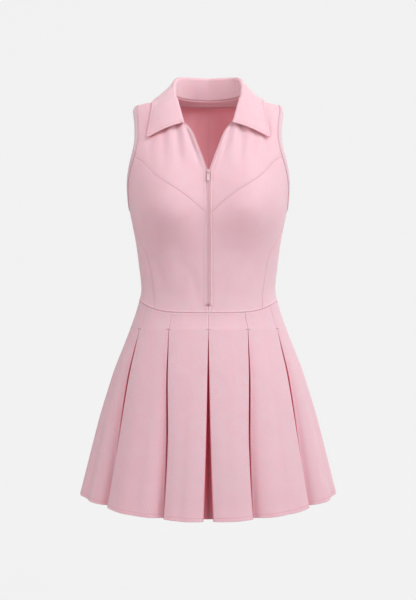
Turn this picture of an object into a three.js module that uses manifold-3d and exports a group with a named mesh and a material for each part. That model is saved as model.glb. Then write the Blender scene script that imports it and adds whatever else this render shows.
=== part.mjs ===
// Sleeveless half-zip tennis dress, shaped as it hangs when worn: a fitted bodice with curved front yokes,
// side panels, a roll collar and an open zip, over a flared skirt of twelve inverted box pleats.
// Millimetres. +X is the right of the picture, -Y the front, +Z up; the origin is midway between the
// points where the shoulder seams meet the collar.
import * as THREE from 'three';
import { mergeVertices } from 'three/addons/utils/BufferGeometryUtils.js';
import Module from 'manifold-3d';

const wasm = await Module();
wasm.setup();

// Cloth and seams
const CLOTH = 1.2;
const COLLAR_CLOTH = 2.0;
const BINDING_CLOTH = 1.8;
const TAPE_CLOTH = 1.0;
const SEAM_GAP = 0.3;
const WAIST_GAP = 0.45;
const BINDING_GAP = 0.4;
const SIDE_ANGLE = 90;

// How finely curves are sampled, and how far each step towards the nearest place goes
const FINE = { curve: 240, outline: 800, search: 25, searchStep: 0.7 };

// Bodice sections from the waist seam up to the collar. height is taken at the side; half, front and back are
// the half width and the two depths from the middle plane; square is 2 for an ellipse and more for a boxier
// section; frontDip and backDip say how far the section drops at the middle of the front and of the back.
const SECTIONS = [
  { at: 'waist seam', height: -413, half: 137, front: 97, back: 86, square: 2.3, frontDip: 23, backDip: 6 },
  { at: 'narrowest', height: -387, half: 133, front: 95, back: 82, square: 2.3, frontDip: 14, backDip: 4 },
  { at: 'ribs', height: -340, half: 138, front: 98, back: 86, square: 2.3, frontDip: 5, backDip: 2 },
  { at: 'under the cups', height: -296, half: 144, front: 101, back: 92, square: 2.3, frontDip: 0, backDip: 0 },
  { at: 'cups', height: -240, half: 155, front: 101, back: 97, square: 2.3, frontDip: 0, backDip: 0 },
  { at: 'underarm', height: -205, half: 161, front: 99, back: 99, square: 2.3, frontDip: 0, backDip: 0 },
  { at: 'chest', height: -165, half: 165, front: 95, back: 100, square: 2.3, frontDip: 0, backDip: 0 },
  { at: 'upper chest', height: -117, half: 166, front: 85, back: 99, square: 2.3, frontDip: 0, backDip: 0 },
  { at: 'high chest', height: -70, half: 160, front: 67, back: 92, square: 2.2, frontDip: 0, backDip: 0 },
  { at: 'shoulder tip', height: -28, half: 147, front: 45, back: 79, square: 2.1, frontDip: 0, backDip: 0 },
  { at: 'shoulder slope', height: -16, half: 108, front: 29, back: 69, square: 2.05, frontDip: 0, backDip: 0 },
  { at: 'neck', height: 0, half: 68, front: 0.5, back: 58, square: 2, frontDip: 0, backDip: 3 },
];
const NECK_LEVEL = SECTIONS.length - 1;

// Fullness that the front cups and darts give the cloth
const CUP = { side: 86, height: -234, fullness: 30, spread: 47, above: 68, below: 42 };

// Front edges, as points of the front view: the open zip edge and the neck seam
const ZIP_EDGE = 3.2;
const ZIP_TOP = -166;
const ZIP_BOTTOM = -417;
const PLACKET_END = { open: -420, closed: -424 };
const OPEN_EDGE = [
  { x: ZIP_EDGE, z: ZIP_TOP }, { x: 11.5, z: -143 }, { x: 20.5, z: -119 },
  { x: 31, z: -91 }, { x: 41, z: -75 }, { x: 50, z: -66 },
];
const NECK_SEAM = [{ x: 50, z: -66 }, { x: 60, z: -56 }, { x: 67.5, z: -38 }, { x: 71, z: -17 }];
const YOKE_SEAM = [
  { x: ZIP_EDGE, z: -248 }, { x: 19.5, z: -232 }, { x: 37, z: -217 }, { x: 59, z: -201 },
  { x: 81, z: -187 }, { x: 104, z: -169 }, { x: 125, z: -145 },
];

// Side panel seams: how far round from the middle of the front each one runs at each bodice section
const SIDE_FRONT_SEAM = [
  { level: 0, angle: 46.5 }, { level: 1, angle: 49.8 }, { level: 2, angle: 53 }, { level: 2.55, angle: 57.5 },
  { level: 2.95, angle: 65 }, { level: 3.43, angle: 74.5 }, { level: 4, angle: 79.5 },
];
const SIDE_BACK_SEAM = [
  { level: 0, angle: 127 }, { level: 1, angle: 125 }, { level: 2, angle: 121 },
  { level: 3, angle: 112 }, { level: 4, angle: 102 },
];

// Armhole: a loop round the side, turning from the shoulder tip down the front and up the back
const ARMHOLE = { top: -28, bottom: -223, frontWide: 32, backWide: 28, foot: 16, binding: 9.5 };
const YOKE_TURN = 91.5;
const SIDE_FRONT_TURN = 152;
const SIDE_BACK_TURN = 208;

// Collar, for the right half, from the middle of the back (q 0) over the shoulder (2) to the front end (4):
// the roll line, the outer edge, the roll's radius and how far the leaf stands proud
const COLLAR = [
  { q: 0, roll: [0, 55, 42], edge: [0, 77, -12], radius: 4.2, proud: 3 },
  { q: 1, roll: [43, 43, 42], edge: [64, 60, -12], radius: 4.2, proud: 2.5 },
  { q: 1.5, roll: [59, 24, 37], edge: [86, 37, -14], radius: 4, proud: 1.5 },
  { q: 2, roll: [64, 0, 21], edge: [109, -2, -12], radius: 3.5, proud: 0 },
  { q: 2.5, roll: [63, -19, 2], edge: [110.5, -34, -31], radius: 3.6, proud: 2 },
  { q: 3, roll: [60, -38, -20], edge: [113.5, -45, -49], radius: 3.6, proud: 5 },
  { q: 4, roll: [46, -72, -66], edge: [119, -67, -95], radius: 3, proud: 7 },
];
// Points down the leaf, and how far each stays off the bodice, where the stand lies under it and below that
const LEAF = [
  { t: 0, clear: 7.4 }, { t: 0.25, clear: 6.6 }, { t: 0.5, clear: 5 },
  { t: 0.75, clear: 4.4 }, { t: 1, clear: 4.6 },
];
// The leaf is fullest above its middle by this much, and the stand ends at this point of a column
const LEAF_FULL = 0.4;
const STAND_TOP = 2;
const STAND_GAP = 0.4;
const NECK_TAPE = { drop: 11, slope: 14, clearTop: 0.35, clearFoot: 1.6 };

// Skirt: level waist-to-tack stitching, then open pleats to the hem
const TACK_HEIGHT = -467;
const HEM_HEIGHT = -804;
// The hem hangs lowest at the middle of the front, as the waist seam does
const HEM_DIP = { front: 12, power: 4 };
const SKIRT_OUTLINE = [
  { share: -1, half: 137, front: 97, back: 86, square: 2.3 },
  { share: -0.5, half: 145, front: 101.5, back: 92, square: 2.25 },
  { share: 0, half: 154.5, front: 107, back: 100, square: 2.2 },
  { share: 0.1, half: 167, front: 119, back: 112, square: 2.15 },
  { share: 0.25, half: 185.5, front: 134, back: 127, square: 2.1 },
  { share: 0.4, half: 201, front: 148, back: 141, square: 2.05 },
  { share: 0.55, half: 215, front: 161, back: 154, square: 2 },
  { share: 0.7, half: 227, front: 173, back: 166, square: 2 },
  { share: 0.85, half: 238.5, front: 184, back: 177, square: 2 },
  { share: 1, half: 250, front: 195, back: 188, square: 2 },
];
const SKIRT_ROWS = [-1, -0.5, 0, 0.06, 0.16, 0.3, 0.46, 0.64, 0.82, 1];
// Pleats of a quarter of the skirt: how far round they are where they are tacked and at the hem
const PLEATS = [
  { at: 'middle', tacked: 0, hem: 0 },
  { at: 'inner', tacked: 27.2, hem: 19.6 },
  { at: 'outer', tacked: 58.5, hem: 50.8 },
  { at: 'side', tacked: 90, hem: 90 },
];
// Panels between them: how far each swells at the hem, how deep its one soft trough is, and how far the edge
// nearer to the middle of the dress rolls in under the panel beside it
const PANELS = [
  { at: 'middle', swell: 6, trough: 1, sink: 0 },
  { at: 'next', swell: 9, trough: 4, sink: 13 },
  { at: 'side', swell: 10, trough: 8, sink: 22 },
];
const SINK_WIDTH = 0.24;
const TROUGH_WIDTH = 0.14;
// How far to each side the outline's direction is read
const ALONG_STEP = 0.4;
// How far a fold's corner may thicken its wall, as the least cosine of half the turn
const MITRE = 0.8;
const PLEAT = {
  closedGap: CLOTH + 1, openGap: 5.5, openingRate: 0.25, hemGap: 10,
  foldTop: 20, foldHem: 32, leanTop: 4, leanHem: 78, radiusTop: 1.3, radiusHem: 5,
};

// Zip hardware
const CHAIN = { width: ZIP_EDGE - SEAM_GAP, thick: 1.6, endShort: 2 };
const SLIDER = { height: -168, width: 6.6, long: 10, corner: 2.2, plate: 1.1, clear: 0.4 };
const POST = { half: 0.4, bottom: 3.9, top: 4.9 };
const BRIDGE = { half: 0.8, top: 4.6, bottom: -1.6, inside: 4.6, bar: 0.9, leg: 1.1 };
const TAB = {
  pinOut: 3.45, pinUp: 1.2, bar: 1.2, width: 6, waist: 5.2, long: 19, thick: 1.2,
  windowHalf: 1.35, window: 4.9,
};
const STOP = { width: 5.2, tall: 2.2, thick: 2.6 };

// Grid counts
const COUNT = {
  yokeSeam: 8, zip: 3, open: 6, neckFront: 8, neckBack: 16, sideSeam: 9, bodyArmhole: 5, yokeArmhole: 17,
  underarm: 9, panel: 4, chainClosed: 12,
};

const COLOURS = { cloth: 0xe9b9c4, zip: 0xdb9dab, metal: 0xd8a8b2 };

const degrees = THREE.MathUtils.degToRad;
const mix = THREE.MathUtils.lerp;
const smooth = (value, low, high) => THREE.MathUtils.smoothstep(value, low, high);
const signedPower = (value, power) => Math.sign(value) * Math.abs(value) ** power;
const steps = (count) => Array.from({ length: count + 1 }, (_, i) => i / count);

// A smooth curve through four neighbouring values
function throughFour(a, b, c, d, t) {
  const slopeB = (c - a) / 2;
  const slopeC = (d - b) / 2;
  const cubic = 2 * b - 2 * c + slopeB + slopeC;
  const square = -3 * b + 3 * c - 2 * slopeB - slopeC;
  return ((cubic * t + square) * t + slopeB) * t + b;
}

// Reads a table's numeric columns at a fractional row
function readRow(table, row) {
  const i = Math.min(Math.max(Math.floor(row), 0), table.length - 2);
  const near = (k) => table[Math.min(Math.max(k, 0), table.length - 1)];
  const out = {};
  for (const key of Object.keys(table[0])) {
    if (typeof table[0][key] !== 'number') continue;
    out[key] = throughFour(near(i - 1)[key], near(i)[key], near(i + 1)[key], near(i + 2)[key], row - i);
  }
  return out;
}

// The fractional row at which a rising column reaches a value
function rowAt(table, key, value) {
  let i = 0;
  while (i < table.length - 2 && table[i + 1][key] < value) i += 1;
  let low = i;
  let high = i + 1;
  for (let k = 0; k < 40; k += 1) {
    const middle = (low + high) / 2;
    if (readRow(table, middle)[key] < value) low = middle;
    else high = middle;
  }
  return (low + high) / 2;
}

// How far the waist seam dips round the front, as a share of its dip at the middle
const frontDipShare = (cosine) => Math.sin((Math.PI / 2) * Math.max(cosine, 0) ** 1.25) ** 2;

function cupFullness(x, z, cosine) {
  const tall = z > CUP.height ? CUP.above : CUP.below;
  const upDown = Math.exp(-0.5 * ((z - CUP.height) / tall) ** 2);
  const bump = (middle) => Math.exp(-0.5 * ((x - middle) / CUP.spread) ** 2);
  const across = bump(-CUP.side) + bump(CUP.side);
  return CUP.fullness * upDown * across * smooth(cosine, 0, 0.55);
}

// A point of the bodice: angle runs round from the middle of the front, level up through SECTIONS
function bodicePoint([angle, level]) {
  const section = readRow(SECTIONS, level);
  const sine = Math.sin(degrees(angle));
  const cosine = Math.cos(degrees(angle));
  const power = 2 / section.square;
  const dip = cosine > 0 ? section.frontDip * frontDipShare(cosine) : section.backDip * (-cosine) ** 1.5;
  const x = section.half * signedPower(sine, power);
  const z = section.height - dip;
  const depth = cosine > 0 ? section.front : section.back;
  const y = -depth * signedPower(cosine, power) - cupFullness(x, z, cosine);
  return new THREE.Vector3(x, y, z);
}

function bodiceNormal([angle, level]) {
  const da = 0.2;
  const dl = 0.01;
  const up = Math.min(level + dl, NECK_LEVEL);
  const round = bodicePoint([angle + da, level]).sub(bodicePoint([angle - da, level]));
  const rise = bodicePoint([angle, up]).sub(bodicePoint([angle, level - dl]));
  return round.cross(rise).normalize();
}

const levelAtHeight = (height) => rowAt(SECTIONS, 'height', height);

// Where a point of the front view lies on the bodice
function frontPlace({ x, z }) {
  let level = levelAtHeight(z);
  let angle = 0;
  for (let k = 0; k < 12; k += 1) {
    const section = readRow(SECTIONS, level);
    angle = Math.asin(THREE.MathUtils.clamp(x / section.half, 0, 1) ** (section.square / 2));
    level = levelAtHeight(z + section.frontDip * frontDipShare(Math.cos(angle)));
  }
  return [THREE.MathUtils.radToDeg(angle), level];
}

// The place on the bodice nearest to a point, found from a place close to it
function nearestPlace(target, start) {
  let [angle, level] = start;
  for (let k = 0; k < FINE.search; k += 1) {
    const here = bodicePoint([angle, level]);
    const byAngle = bodicePoint([angle + 0.05, level]).sub(bodicePoint([angle - 0.05, level]));
    byAngle.divideScalar(0.1);
    const byLevel = bodicePoint([angle, level + 0.002]).sub(bodicePoint([angle, level - 0.002]));
    byLevel.divideScalar(0.004);
    const miss = target.clone().sub(here);
    const aa = byAngle.dot(byAngle);
    const al = byAngle.dot(byLevel);
    const ll = byLevel.dot(byLevel);
    const determinant = aa * ll - al * al;
    const ma = miss.dot(byAngle);
    const ml = miss.dot(byLevel);
    angle += FINE.searchStep * (ll * ma - al * ml) / determinant;
    level += FINE.searchStep * (aa * ml - al * ma) / determinant;
    level = THREE.MathUtils.clamp(level, 0, NECK_LEVEL);
  }
  return [angle, level];
}

// Even samples of a curve through places, each [angle, level]
function curveOfPlaces(places, count) {
  const table = places.map(([angle, level]) => ({ angle, level }));
  const fine = steps(FINE.curve).map((t) => readRow(table, t * (table.length - 1)));
  const points = fine.map((place) => bodicePoint([place.angle, place.level]));
  const run = [0];
  for (let i = 1; i < points.length; i += 1) run.push(run[i - 1] + points[i].distanceTo(points[i - 1]));
  return steps(count).map((t) => {
    const goal = t * run[run.length - 1];
    let i = 1;
    while (i < run.length - 1 && run[i] < goal) i += 1;
    const share = (goal - run[i - 1]) / (run[i] - run[i - 1]);
    return [mix(fine[i - 1].angle, fine[i].angle, share), mix(fine[i - 1].level, fine[i].level, share)];
  });
}

// Armhole edge and the cut edge of the panels, a binding's width away from it
function armholeEdge(turn) {
  const middle = (ARMHOLE.top + ARMHOLE.bottom) / 2;
  const tall = (ARMHOLE.top - ARMHOLE.bottom) / 2;
  const cosine = Math.cos(degrees(turn));
  const wide = turn < 180 ? ARMHOLE.frontWide : ARMHOLE.backWide;
  const spread = mix(ARMHOLE.foot, wide, smooth(cosine, -0.75, 0.35));
  return [SIDE_ANGLE - Math.sin(degrees(turn)) * spread, levelAtHeight(middle + tall * cosine)];
}

function armholeCut(turn) {
  const place = armholeEdge(turn);
  const along = bodicePoint(armholeEdge(turn + 0.5)).sub(bodicePoint(armholeEdge(turn - 0.5)));
  const away = along.cross(bodiceNormal(place)).normalize();
  return nearestPlace(bodicePoint(place).addScaledVector(away, ARMHOLE.binding), place);
}

const armholeTurns = (from, to, count) => steps(count).map((t) => mix(from, to, t));

// Fills the patch between four edges of places: rows run from bottom to top, columns from first to last
function fillPatch(bottom, top, first, last) {
  const columns = bottom.length - 1;
  const rows = first.length - 1;
  return first.map((_, j) => bottom.map((__, i) => [0, 1].map((axis) => {
    const u = i / columns;
    const v = j / rows;
    const sides = mix(first[j][axis], last[j][axis], u);
    const ends = mix(bottom[i][axis], top[i][axis], v);
    const low = mix(bottom[0][axis], bottom[columns][axis], u);
    const high = mix(top[0][axis], top[columns][axis], u);
    return sides + ends - mix(low, high, v);
  })));
}

function geometryOf(points, triangles) {
  const geometry = new THREE.BufferGeometry();
  const numbers = points.flatMap((p) => p.toArray());
  geometry.setAttribute('position', new THREE.Float32BufferAttribute(numbers, 3));
  const volume = triangles.reduce((sum, [a, b, c]) => {
    const cross = points[b].clone().cross(points[c]);
    return sum + points[a].dot(cross);
  }, 0);
  geometry.setIndex((volume < 0 ? triangles.map(([a, b, c]) => [a, c, b]) : triangles).flat());
  return geometry;
}

// A wall: outer and inner are grids of points with the same rows and columns
function wallGeometry(outer, inner) {
  const rows = outer.length;
  const columns = outer[0].length;
  const points = [...outer.flat(), ...inner.flat()];
  const out = (j, i) => j * columns + i;
  const back = (j, i) => rows * columns + j * columns + i;
  const triangles = [];
  const quad = (a, b, c, d) => triangles.push([a, b, c], [a, c, d]);
  for (let j = 0; j < rows - 1; j += 1) {
    for (let i = 0; i < columns - 1; i += 1) {
      quad(out(j, i), out(j, i + 1), out(j + 1, i + 1), out(j + 1, i));
      quad(back(j, i), back(j + 1, i), back(j + 1, i + 1), back(j, i + 1));
    }
  }
  for (let i = 0; i < columns - 1; i += 1) {
    quad(out(0, i), back(0, i), back(0, i + 1), out(0, i + 1));
    quad(out(rows - 1, i), out(rows - 1, i + 1), back(rows - 1, i + 1), back(rows - 1, i));
  }
  for (let j = 0; j < rows - 1; j += 1) {
    quad(out(j, 0), out(j + 1, 0), back(j + 1, 0), back(j, 0));
    quad(out(j, columns - 1), back(j, columns - 1), back(j + 1, columns - 1), out(j + 1, columns - 1));
  }
  return geometryOf(points, triangles);
}

// A bar of like sections, closed into a ring or capped at both ends
function barGeometry(sections, closed) {
  const sides = sections[0].length;
  const triangles = [];
  const last = closed ? sections.length : sections.length - 1;
  const at = (j, i) => (j % sections.length) * sides + (i % sides);
  for (let j = 0; j < last; j += 1) {
    for (let i = 0; i < sides; i += 1) {
      triangles.push([at(j, i), at(j, i + 1), at(j + 1, i + 1)], [at(j, i), at(j + 1, i + 1), at(j + 1, i)]);
    }
  }
  if (!closed) {
    for (let i = 1; i < sides - 1; i += 1) {
      triangles.push([at(0, 0), at(0, i + 1), at(0, i)], [at(last, 0), at(last, i), at(last, i + 1)]);
    }
  }
  return geometryOf(sections.flat(), triangles);
}

// Moves the border of a grid in by half a seam gap, along the cloth
function drawnIn(points, normals, amount) {
  const rows = points.length;
  const columns = points[0].length;
  const moved = points.map((row) => row.map((p) => p.clone()));
  const inward = (j, i, along, toward) => {
    const direction = along.clone().cross(normals[j][i]).normalize();
    if (direction.dot(toward) < 0) direction.negate();
    moved[j][i].addScaledVector(direction, amount);
  };
  const between = (a, b) => points[b[0]][b[1]].clone().sub(points[a[0]][a[1]]);
  for (let i = 0; i < columns; i += 1) {
    for (const [j, next] of [[0, 1], [rows - 1, rows - 2]]) {
      const along = between([j, Math.max(i - 1, 0)], [j, Math.min(i + 1, columns - 1)]);
      inward(j, i, along, between([j, i], [next, i]));
    }
  }
  for (let j = 0; j < rows; j += 1) {
    for (const [i, next] of [[0, 1], [columns - 1, columns - 2]]) {
      const along = between([Math.max(j - 1, 0), i], [Math.min(j + 1, rows - 1), i]);
      inward(j, i, along, between([j, i], [j, next]));
    }
  }
  return moved;
}

// A cloth panel cut from the bodice
function panelGeometry(places, thick = CLOTH, depthOfRow = () => 0) {
  const normals = places.map((row) => row.map(bodiceNormal));
  const middle = drawnIn(places.map((row) => row.map(bodicePoint)), normals, SEAM_GAP / 2);
  const shifted = (way) => middle.map((row, j) => row.map((p, i) => (
    p.clone().addScaledVector(normals[j][i], depthOfRow(j) + way * thick / 2)
  )));
  return wallGeometry(shifted(1), shifted(-1));
}

// The panels' shared edges, all for the right half
const zipEdge = (from, to, count) => steps(count).map((t) => frontPlace({ x: ZIP_EDGE, z: mix(from, to, t) }));
const waistMiddle = bodicePoint([0, 0]).z;
const yokeEnd = armholeCut(YOKE_TURN);
const yokeSeam = curveOfPlaces([...YOKE_SEAM.map(frontPlace), yokeEnd], COUNT.yokeSeam);
const seamPlaces = (seam, end) => [...seam.map(({ level, angle }) => [angle, level]), end];
const sideFrontSeam = curveOfPlaces(seamPlaces(SIDE_FRONT_SEAM, armholeCut(SIDE_FRONT_TURN)), COUNT.sideSeam);
const sideBackSeam = curveOfPlaces(seamPlaces(SIDE_BACK_SEAM, armholeCut(SIDE_BACK_TURN)), COUNT.sideSeam);
const openEdge = curveOfPlaces(OPEN_EDGE.map(frontPlace), COUNT.open);
const shoulderNeck = [SIDE_ANGLE, NECK_LEVEL];
const shoulderMiddle = [SIDE_ANGLE, NECK_LEVEL - 1];
const shoulderTip = [SIDE_ANGLE, armholeCut(0)[1]];
const frontNeck = curveOfPlaces([...NECK_SEAM.map(frontPlace), shoulderNeck], COUNT.neckFront);
const shoulderSeam = curveOfPlaces([shoulderNeck, shoulderMiddle, shoulderTip], COUNT.yokeSeam);
const backNeck = steps(COUNT.neckBack).map((t) => [mix(SIDE_ANGLE, 360 - SIDE_ANGLE, t), NECK_LEVEL]);
const halfBackNeck = backNeck.slice(0, COUNT.neckBack / 2 + 1);
const waist = (from, to, count) => steps(count).map((t) => [mix(from, to, t), 0]);

function frontYoke() {
  const zip = zipEdge(YOKE_SEAM[0].z, ZIP_TOP, COUNT.zip);
  const inner = [...zip, ...openEdge.slice(1), ...frontNeck.slice(1)];
  const outer = armholeTurns(YOKE_TURN, 0, COUNT.yokeArmhole).map(armholeCut);
  return panelGeometry(fillPatch(yokeSeam, shoulderSeam, inner, outer));
}

function frontBody() {
  const closed = [waistMiddle, PLACKET_END.closed].map((z) => frontPlace({ x: 0, z }));
  const zip = zipEdge(PLACKET_END.open, YOKE_SEAM[0].z, COUNT.sideSeam + COUNT.bodyArmhole - 2);
  const inner = [...closed, ...zip];
  const armhole = armholeTurns(SIDE_FRONT_TURN, YOKE_TURN, COUNT.bodyArmhole).map(armholeCut);
  const outer = [...sideFrontSeam, ...armhole.slice(1)];
  const bottom = waist(inner[0][0], sideFrontSeam[0][0], COUNT.yokeSeam);
  return panelGeometry(fillPatch(bottom, yokeSeam, inner, outer));
}

function sidePanel() {
  const top = armholeTurns(SIDE_FRONT_TURN, SIDE_BACK_TURN, COUNT.underarm).map(armholeCut);
  const bottom = waist(sideFrontSeam[0][0], sideBackSeam[0][0], COUNT.underarm);
  return panelGeometry(fillPatch(bottom, top, sideFrontSeam, sideBackSeam));
}

function backBody() {
  const armhole = armholeTurns(SIDE_BACK_TURN, 360, COUNT.yokeArmhole).map(armholeCut);
  const outer = [...sideBackSeam, ...armhole.slice(1), ...[...shoulderSeam].reverse().slice(1)];
  const middle = outer.map(([, level]) => [180, level]);
  return panelGeometry(fillPatch(waist(outer[0][0], 180, COUNT.neckBack / 2), halfBackNeck, outer, middle));
}

// The folded binding that makes the armhole's edge
function armholeBinding() {
  const turns = [
    ...armholeTurns(0, YOKE_TURN, COUNT.yokeArmhole).slice(0, -1),
    ...armholeTurns(YOKE_TURN, SIDE_FRONT_TURN, COUNT.bodyArmhole).slice(0, -1),
    ...armholeTurns(SIDE_FRONT_TURN, SIDE_BACK_TURN, COUNT.underarm).slice(0, -1),
    ...armholeTurns(SIDE_BACK_TURN, 360, COUNT.yokeArmhole).slice(0, -1),
  ];
  const sections = turns.map((turn) => {
    const edge = armholeEdge(turn);
    const cut = armholeCut(turn);
    const width = bodicePoint(edge).distanceTo(bodicePoint(cut));
    const side = (share, way) => {
      const place = [mix(edge[0], cut[0], share), mix(edge[1], cut[1], share)];
      const half = (BINDING_CLOTH / 2) * (share === 0 ? 0.6 : 1);
      return bodicePoint(place).addScaledVector(bodiceNormal(place), way * half);
    };
    const cutShare = 1 - (BINDING_GAP - SEAM_GAP / 2) / width;
    return [side(0, 1), side(0.2, 1), side(cutShare, 1), side(cutShare, -1), side(0.2, -1), side(0, -1)];
  });
  return barGeometry(sections, true);
}

// A point moved out to stand at least so far off the bodice
function clearOfBodice(point, clear) {
  const [angle, level] = frontPlace({ x: point.x, z: point.z });
  const place = nearestPlace(point, [point.y > 0 ? 2 * SIDE_ANGLE - angle : angle, level]);
  const normal = bodiceNormal(place);
  const height = point.clone().sub(bodicePoint(place)).dot(normal);
  return point.clone().addScaledVector(normal, Math.max(clear - height, 0));
}

// The collar: a stand that rises from the neck seam, rolls over and falls as a pointed leaf
function collarColumn(neckPlace, q, side) {
  const row = rowAt(COLLAR, 'q', q);
  const i = Math.min(Math.floor(row), COLLAR.length - 2);
  const rows = [-1, 0, 1, 2].map((k) => COLLAR[Math.min(Math.max(i + k, 0), COLLAR.length - 1)]);
  const read = (pick) => throughFour(...rows.map(pick), row - i);
  const point = (key) => new THREE.Vector3(...[0, 1, 2].map((axis) => read((r) => r[key][axis])));
  const roll = q === 0 ? new THREE.Vector3(...COLLAR[0].roll) : point('roll');
  const edge = q === 0 ? new THREE.Vector3(...COLLAR[0].edge) : point('edge');
  const radius = read((r) => r.radius);
  const proud = read((r) => r.proud);
  const neck = bodicePoint(neckPlace);
  const normal = bodiceNormal(neckPlace);
  const rise = roll.clone().sub(neck).normalize();
  const faceTilt = Math.sqrt(Math.max(1 - rise.dot(normal) ** 2, 0));
  const seat = CLOTH / 2 + SEAM_GAP + (COLLAR_CLOTH / 2) * faceTilt;
  const start = neck.clone().addScaledVector(normal, seat);
  const up = roll.clone().sub(start).normalize();
  const out = normal.clone().addScaledVector(up, -normal.dot(up)).normalize();
  const standTop = roll.clone().addScaledVector(up, -radius);
  const centre = standTop.clone().addScaledVector(out, radius);
  const arc = [30, 60, 90, 120, 150].map((turn) => centre.clone()
    .addScaledVector(out, -radius * Math.cos(degrees(turn)))
    .addScaledVector(up, radius * Math.sin(degrees(turn))));
  const leafTop = centre.clone().addScaledVector(out, radius);
  const leaf = edge.clone().sub(leafTop);
  const lift = up.clone().add(out);
  lift.addScaledVector(leaf, -lift.dot(leaf) / leaf.lengthSq()).normalize();
  const fullness = (t) => proud * 4 * t * (1 - t) * (1 - LEAF_FULL * t);
  const leafPoint = (t) => leafTop.clone().addScaledVector(leaf, t).addScaledVector(lift, fullness(t));
  const stand = [0, 0.5].map((t) => start.clone().lerp(standTop, t));
  const fall = LEAF.map(({ t, clear }) => clearOfBodice(leafPoint(t), clear));
  const column = [...stand, standTop, ...arc, ...fall];
  return column.map((p) => new THREE.Vector3(p.x * side, p.y, p.z));
}

function gridNormals(grid) {
  const lastColumn = grid.length - 1;
  return grid.map((column, j) => column.map((_, i) => {
    const round = grid[Math.min(j + 1, lastColumn)][i].clone().sub(grid[Math.max(j - 1, 0)][i]);
    const rise = column[Math.min(i + 1, column.length - 1)].clone().sub(column[Math.max(i - 1, 0)]);
    return round.cross(rise).normalize();
  }));
}

// The collar's two pieces, which meet along the top of the stand
function collarPieces() {
  const back = [...halfBackNeck].reverse().map((place, i) => ({ place, q: 2 * i / (COUNT.neckBack / 2) }));
  const down = [...frontNeck].reverse().slice(1);
  const front = down.map((place, i) => ({ place, q: 2 + 2 * (i + 1) / COUNT.neckFront }));
  const stations = [...back, ...front];
  const right = stations.map(({ place, q }) => collarColumn(place, q, 1));
  const left = stations.slice(1).map(({ place, q }) => collarColumn(place, q, -1)).reverse();
  const grid = [...left, ...right];
  const normals = gridNormals(grid);
  const shifted = (amount) => grid.map((column, j) => column.map((p, i) => (
    p.clone().addScaledVector(normals[j][i], amount)
  )));
  const toward = (a, b) => a.clone().addScaledVector(b.clone().sub(a).normalize(), STAND_GAP / 2);
  const standOf = (column) => [...column.slice(0, STAND_TOP), toward(column[STAND_TOP], column[STAND_TOP - 1])];
  const leafOf = (column) => [toward(column[STAND_TOP], column[STAND_TOP + 1]), ...column.slice(STAND_TOP + 1)];
  const faces = [shifted(COLLAR_CLOTH / 2), shifted(-COLLAR_CLOTH / 2)];
  const wall = (piece) => wallGeometry(...faces.map((face) => face.map(piece)));
  return { stand: wall(standOf), leaf: wall(leafOf) };
}

// The tape that covers the collar seam inside the back neck
function neckTape() {
  const top = backNeck.slice(2, -2).map(([angle, level]) => [angle, level - 0.1]);
  const { drop, slope, clearTop, clearFoot } = NECK_TAPE;
  const places = [0, 0.5, 1].map((t) => top.map(([angle, level]) => [angle, level - t * drop / slope]));
  return panelGeometry(places, TAPE_CLOTH, (j) => -(CLOTH + TAPE_CLOTH) / 2 - mix(clearTop, clearFoot, j / 2));
}

// Half of the zip: its tape edge and coil, along the front panel's edge
function zipChain() {
  const closed = zipEdge(ZIP_BOTTOM, ZIP_TOP, COUNT.chainClosed);
  const path = [...closed, ...openEdge.slice(1)];
  const points = path.map(bodicePoint);
  const end = points.length - 1;
  points[end].lerp(points[end - 1], CHAIN.endShort / points[end].distanceTo(points[end - 1]));
  const sections = path.map((place, i) => {
    const along = points[Math.min(i + 1, end)].clone().sub(points[Math.max(i - 1, 0)]);
    const normal = bodiceNormal(place);
    const inward = normal.clone().cross(along).normalize();
    if (inward.x > 0) inward.negate();
    const corner = (away, out) => (
      points[i].clone().addScaledVector(inward, away).addScaledVector(normal, out)
    );
    const near = SEAM_GAP / 2;
    const far = near + CHAIN.width;
    const half = CHAIN.thick / 2;
    return [corner(near, half), corner(far, half), corner(far, -half), corner(near, -half)];
  });
  return barGeometry(sections, false);
}

// Turns a closed geometry into a solid that can be joined and cut
function solidOf(geometry) {
  const bare = geometry.clone();
  bare.deleteAttribute('normal');
  bare.deleteAttribute('uv');
  const merged = mergeVertices(bare, 1e-4);
  return new wasm.Manifold(new wasm.Mesh({
    numProp: 3, vertProperties: merged.attributes.position.array, triVerts: new Uint32Array(merged.index.array),
  }));
}

function geometryOfSolid(solid) {
  const { vertProperties, triVerts } = solid.getMesh();
  const geometry = new THREE.BufferGeometry();
  geometry.setAttribute('position', new THREE.Float32BufferAttribute(vertProperties, 3));
  geometry.setIndex([...triVerts]);
  return geometry;
}

const arcPoints = (x, y, radius, from, to, count) => steps(count).map((t) => new THREE.Vector2(
  x + radius * Math.cos(degrees(mix(from, to, t))), y + radius * Math.sin(degrees(mix(from, to, t))),
));

function roundedShape(width, long, radius) {
  const x = width / 2 - radius;
  const y = long / 2 - radius;
  const corner = (cx, cy, from) => arcPoints(cx, cy, radius, from, from + 90, 4);
  const points = [...corner(x, -y, -90), ...corner(x, y, 0), ...corner(-x, y, 90), ...corner(-x, -y, 180)];
  return new THREE.Shape(points);
}

// A plate in the zip's own frame: X across, Z up the zip, and from near to far out of the cloth along -Y
function plate(shape, near, far) {
  const geometry = new THREE.ExtrudeGeometry(shape, { depth: far - near, bevelEnabled: false, curveSegments: 4 });
  geometry.rotateX(Math.PI / 2);
  return geometry.translate(0, -near, 0);
}

function block(x0, x1, out0, out1, up0, up1) {
  const geometry = new THREE.BoxGeometry(x1 - x0, out1 - out0, up1 - up0);
  return geometry.translate((x0 + x1) / 2, -(out0 + out1) / 2, (up0 + up1) / 2);
}

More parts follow.
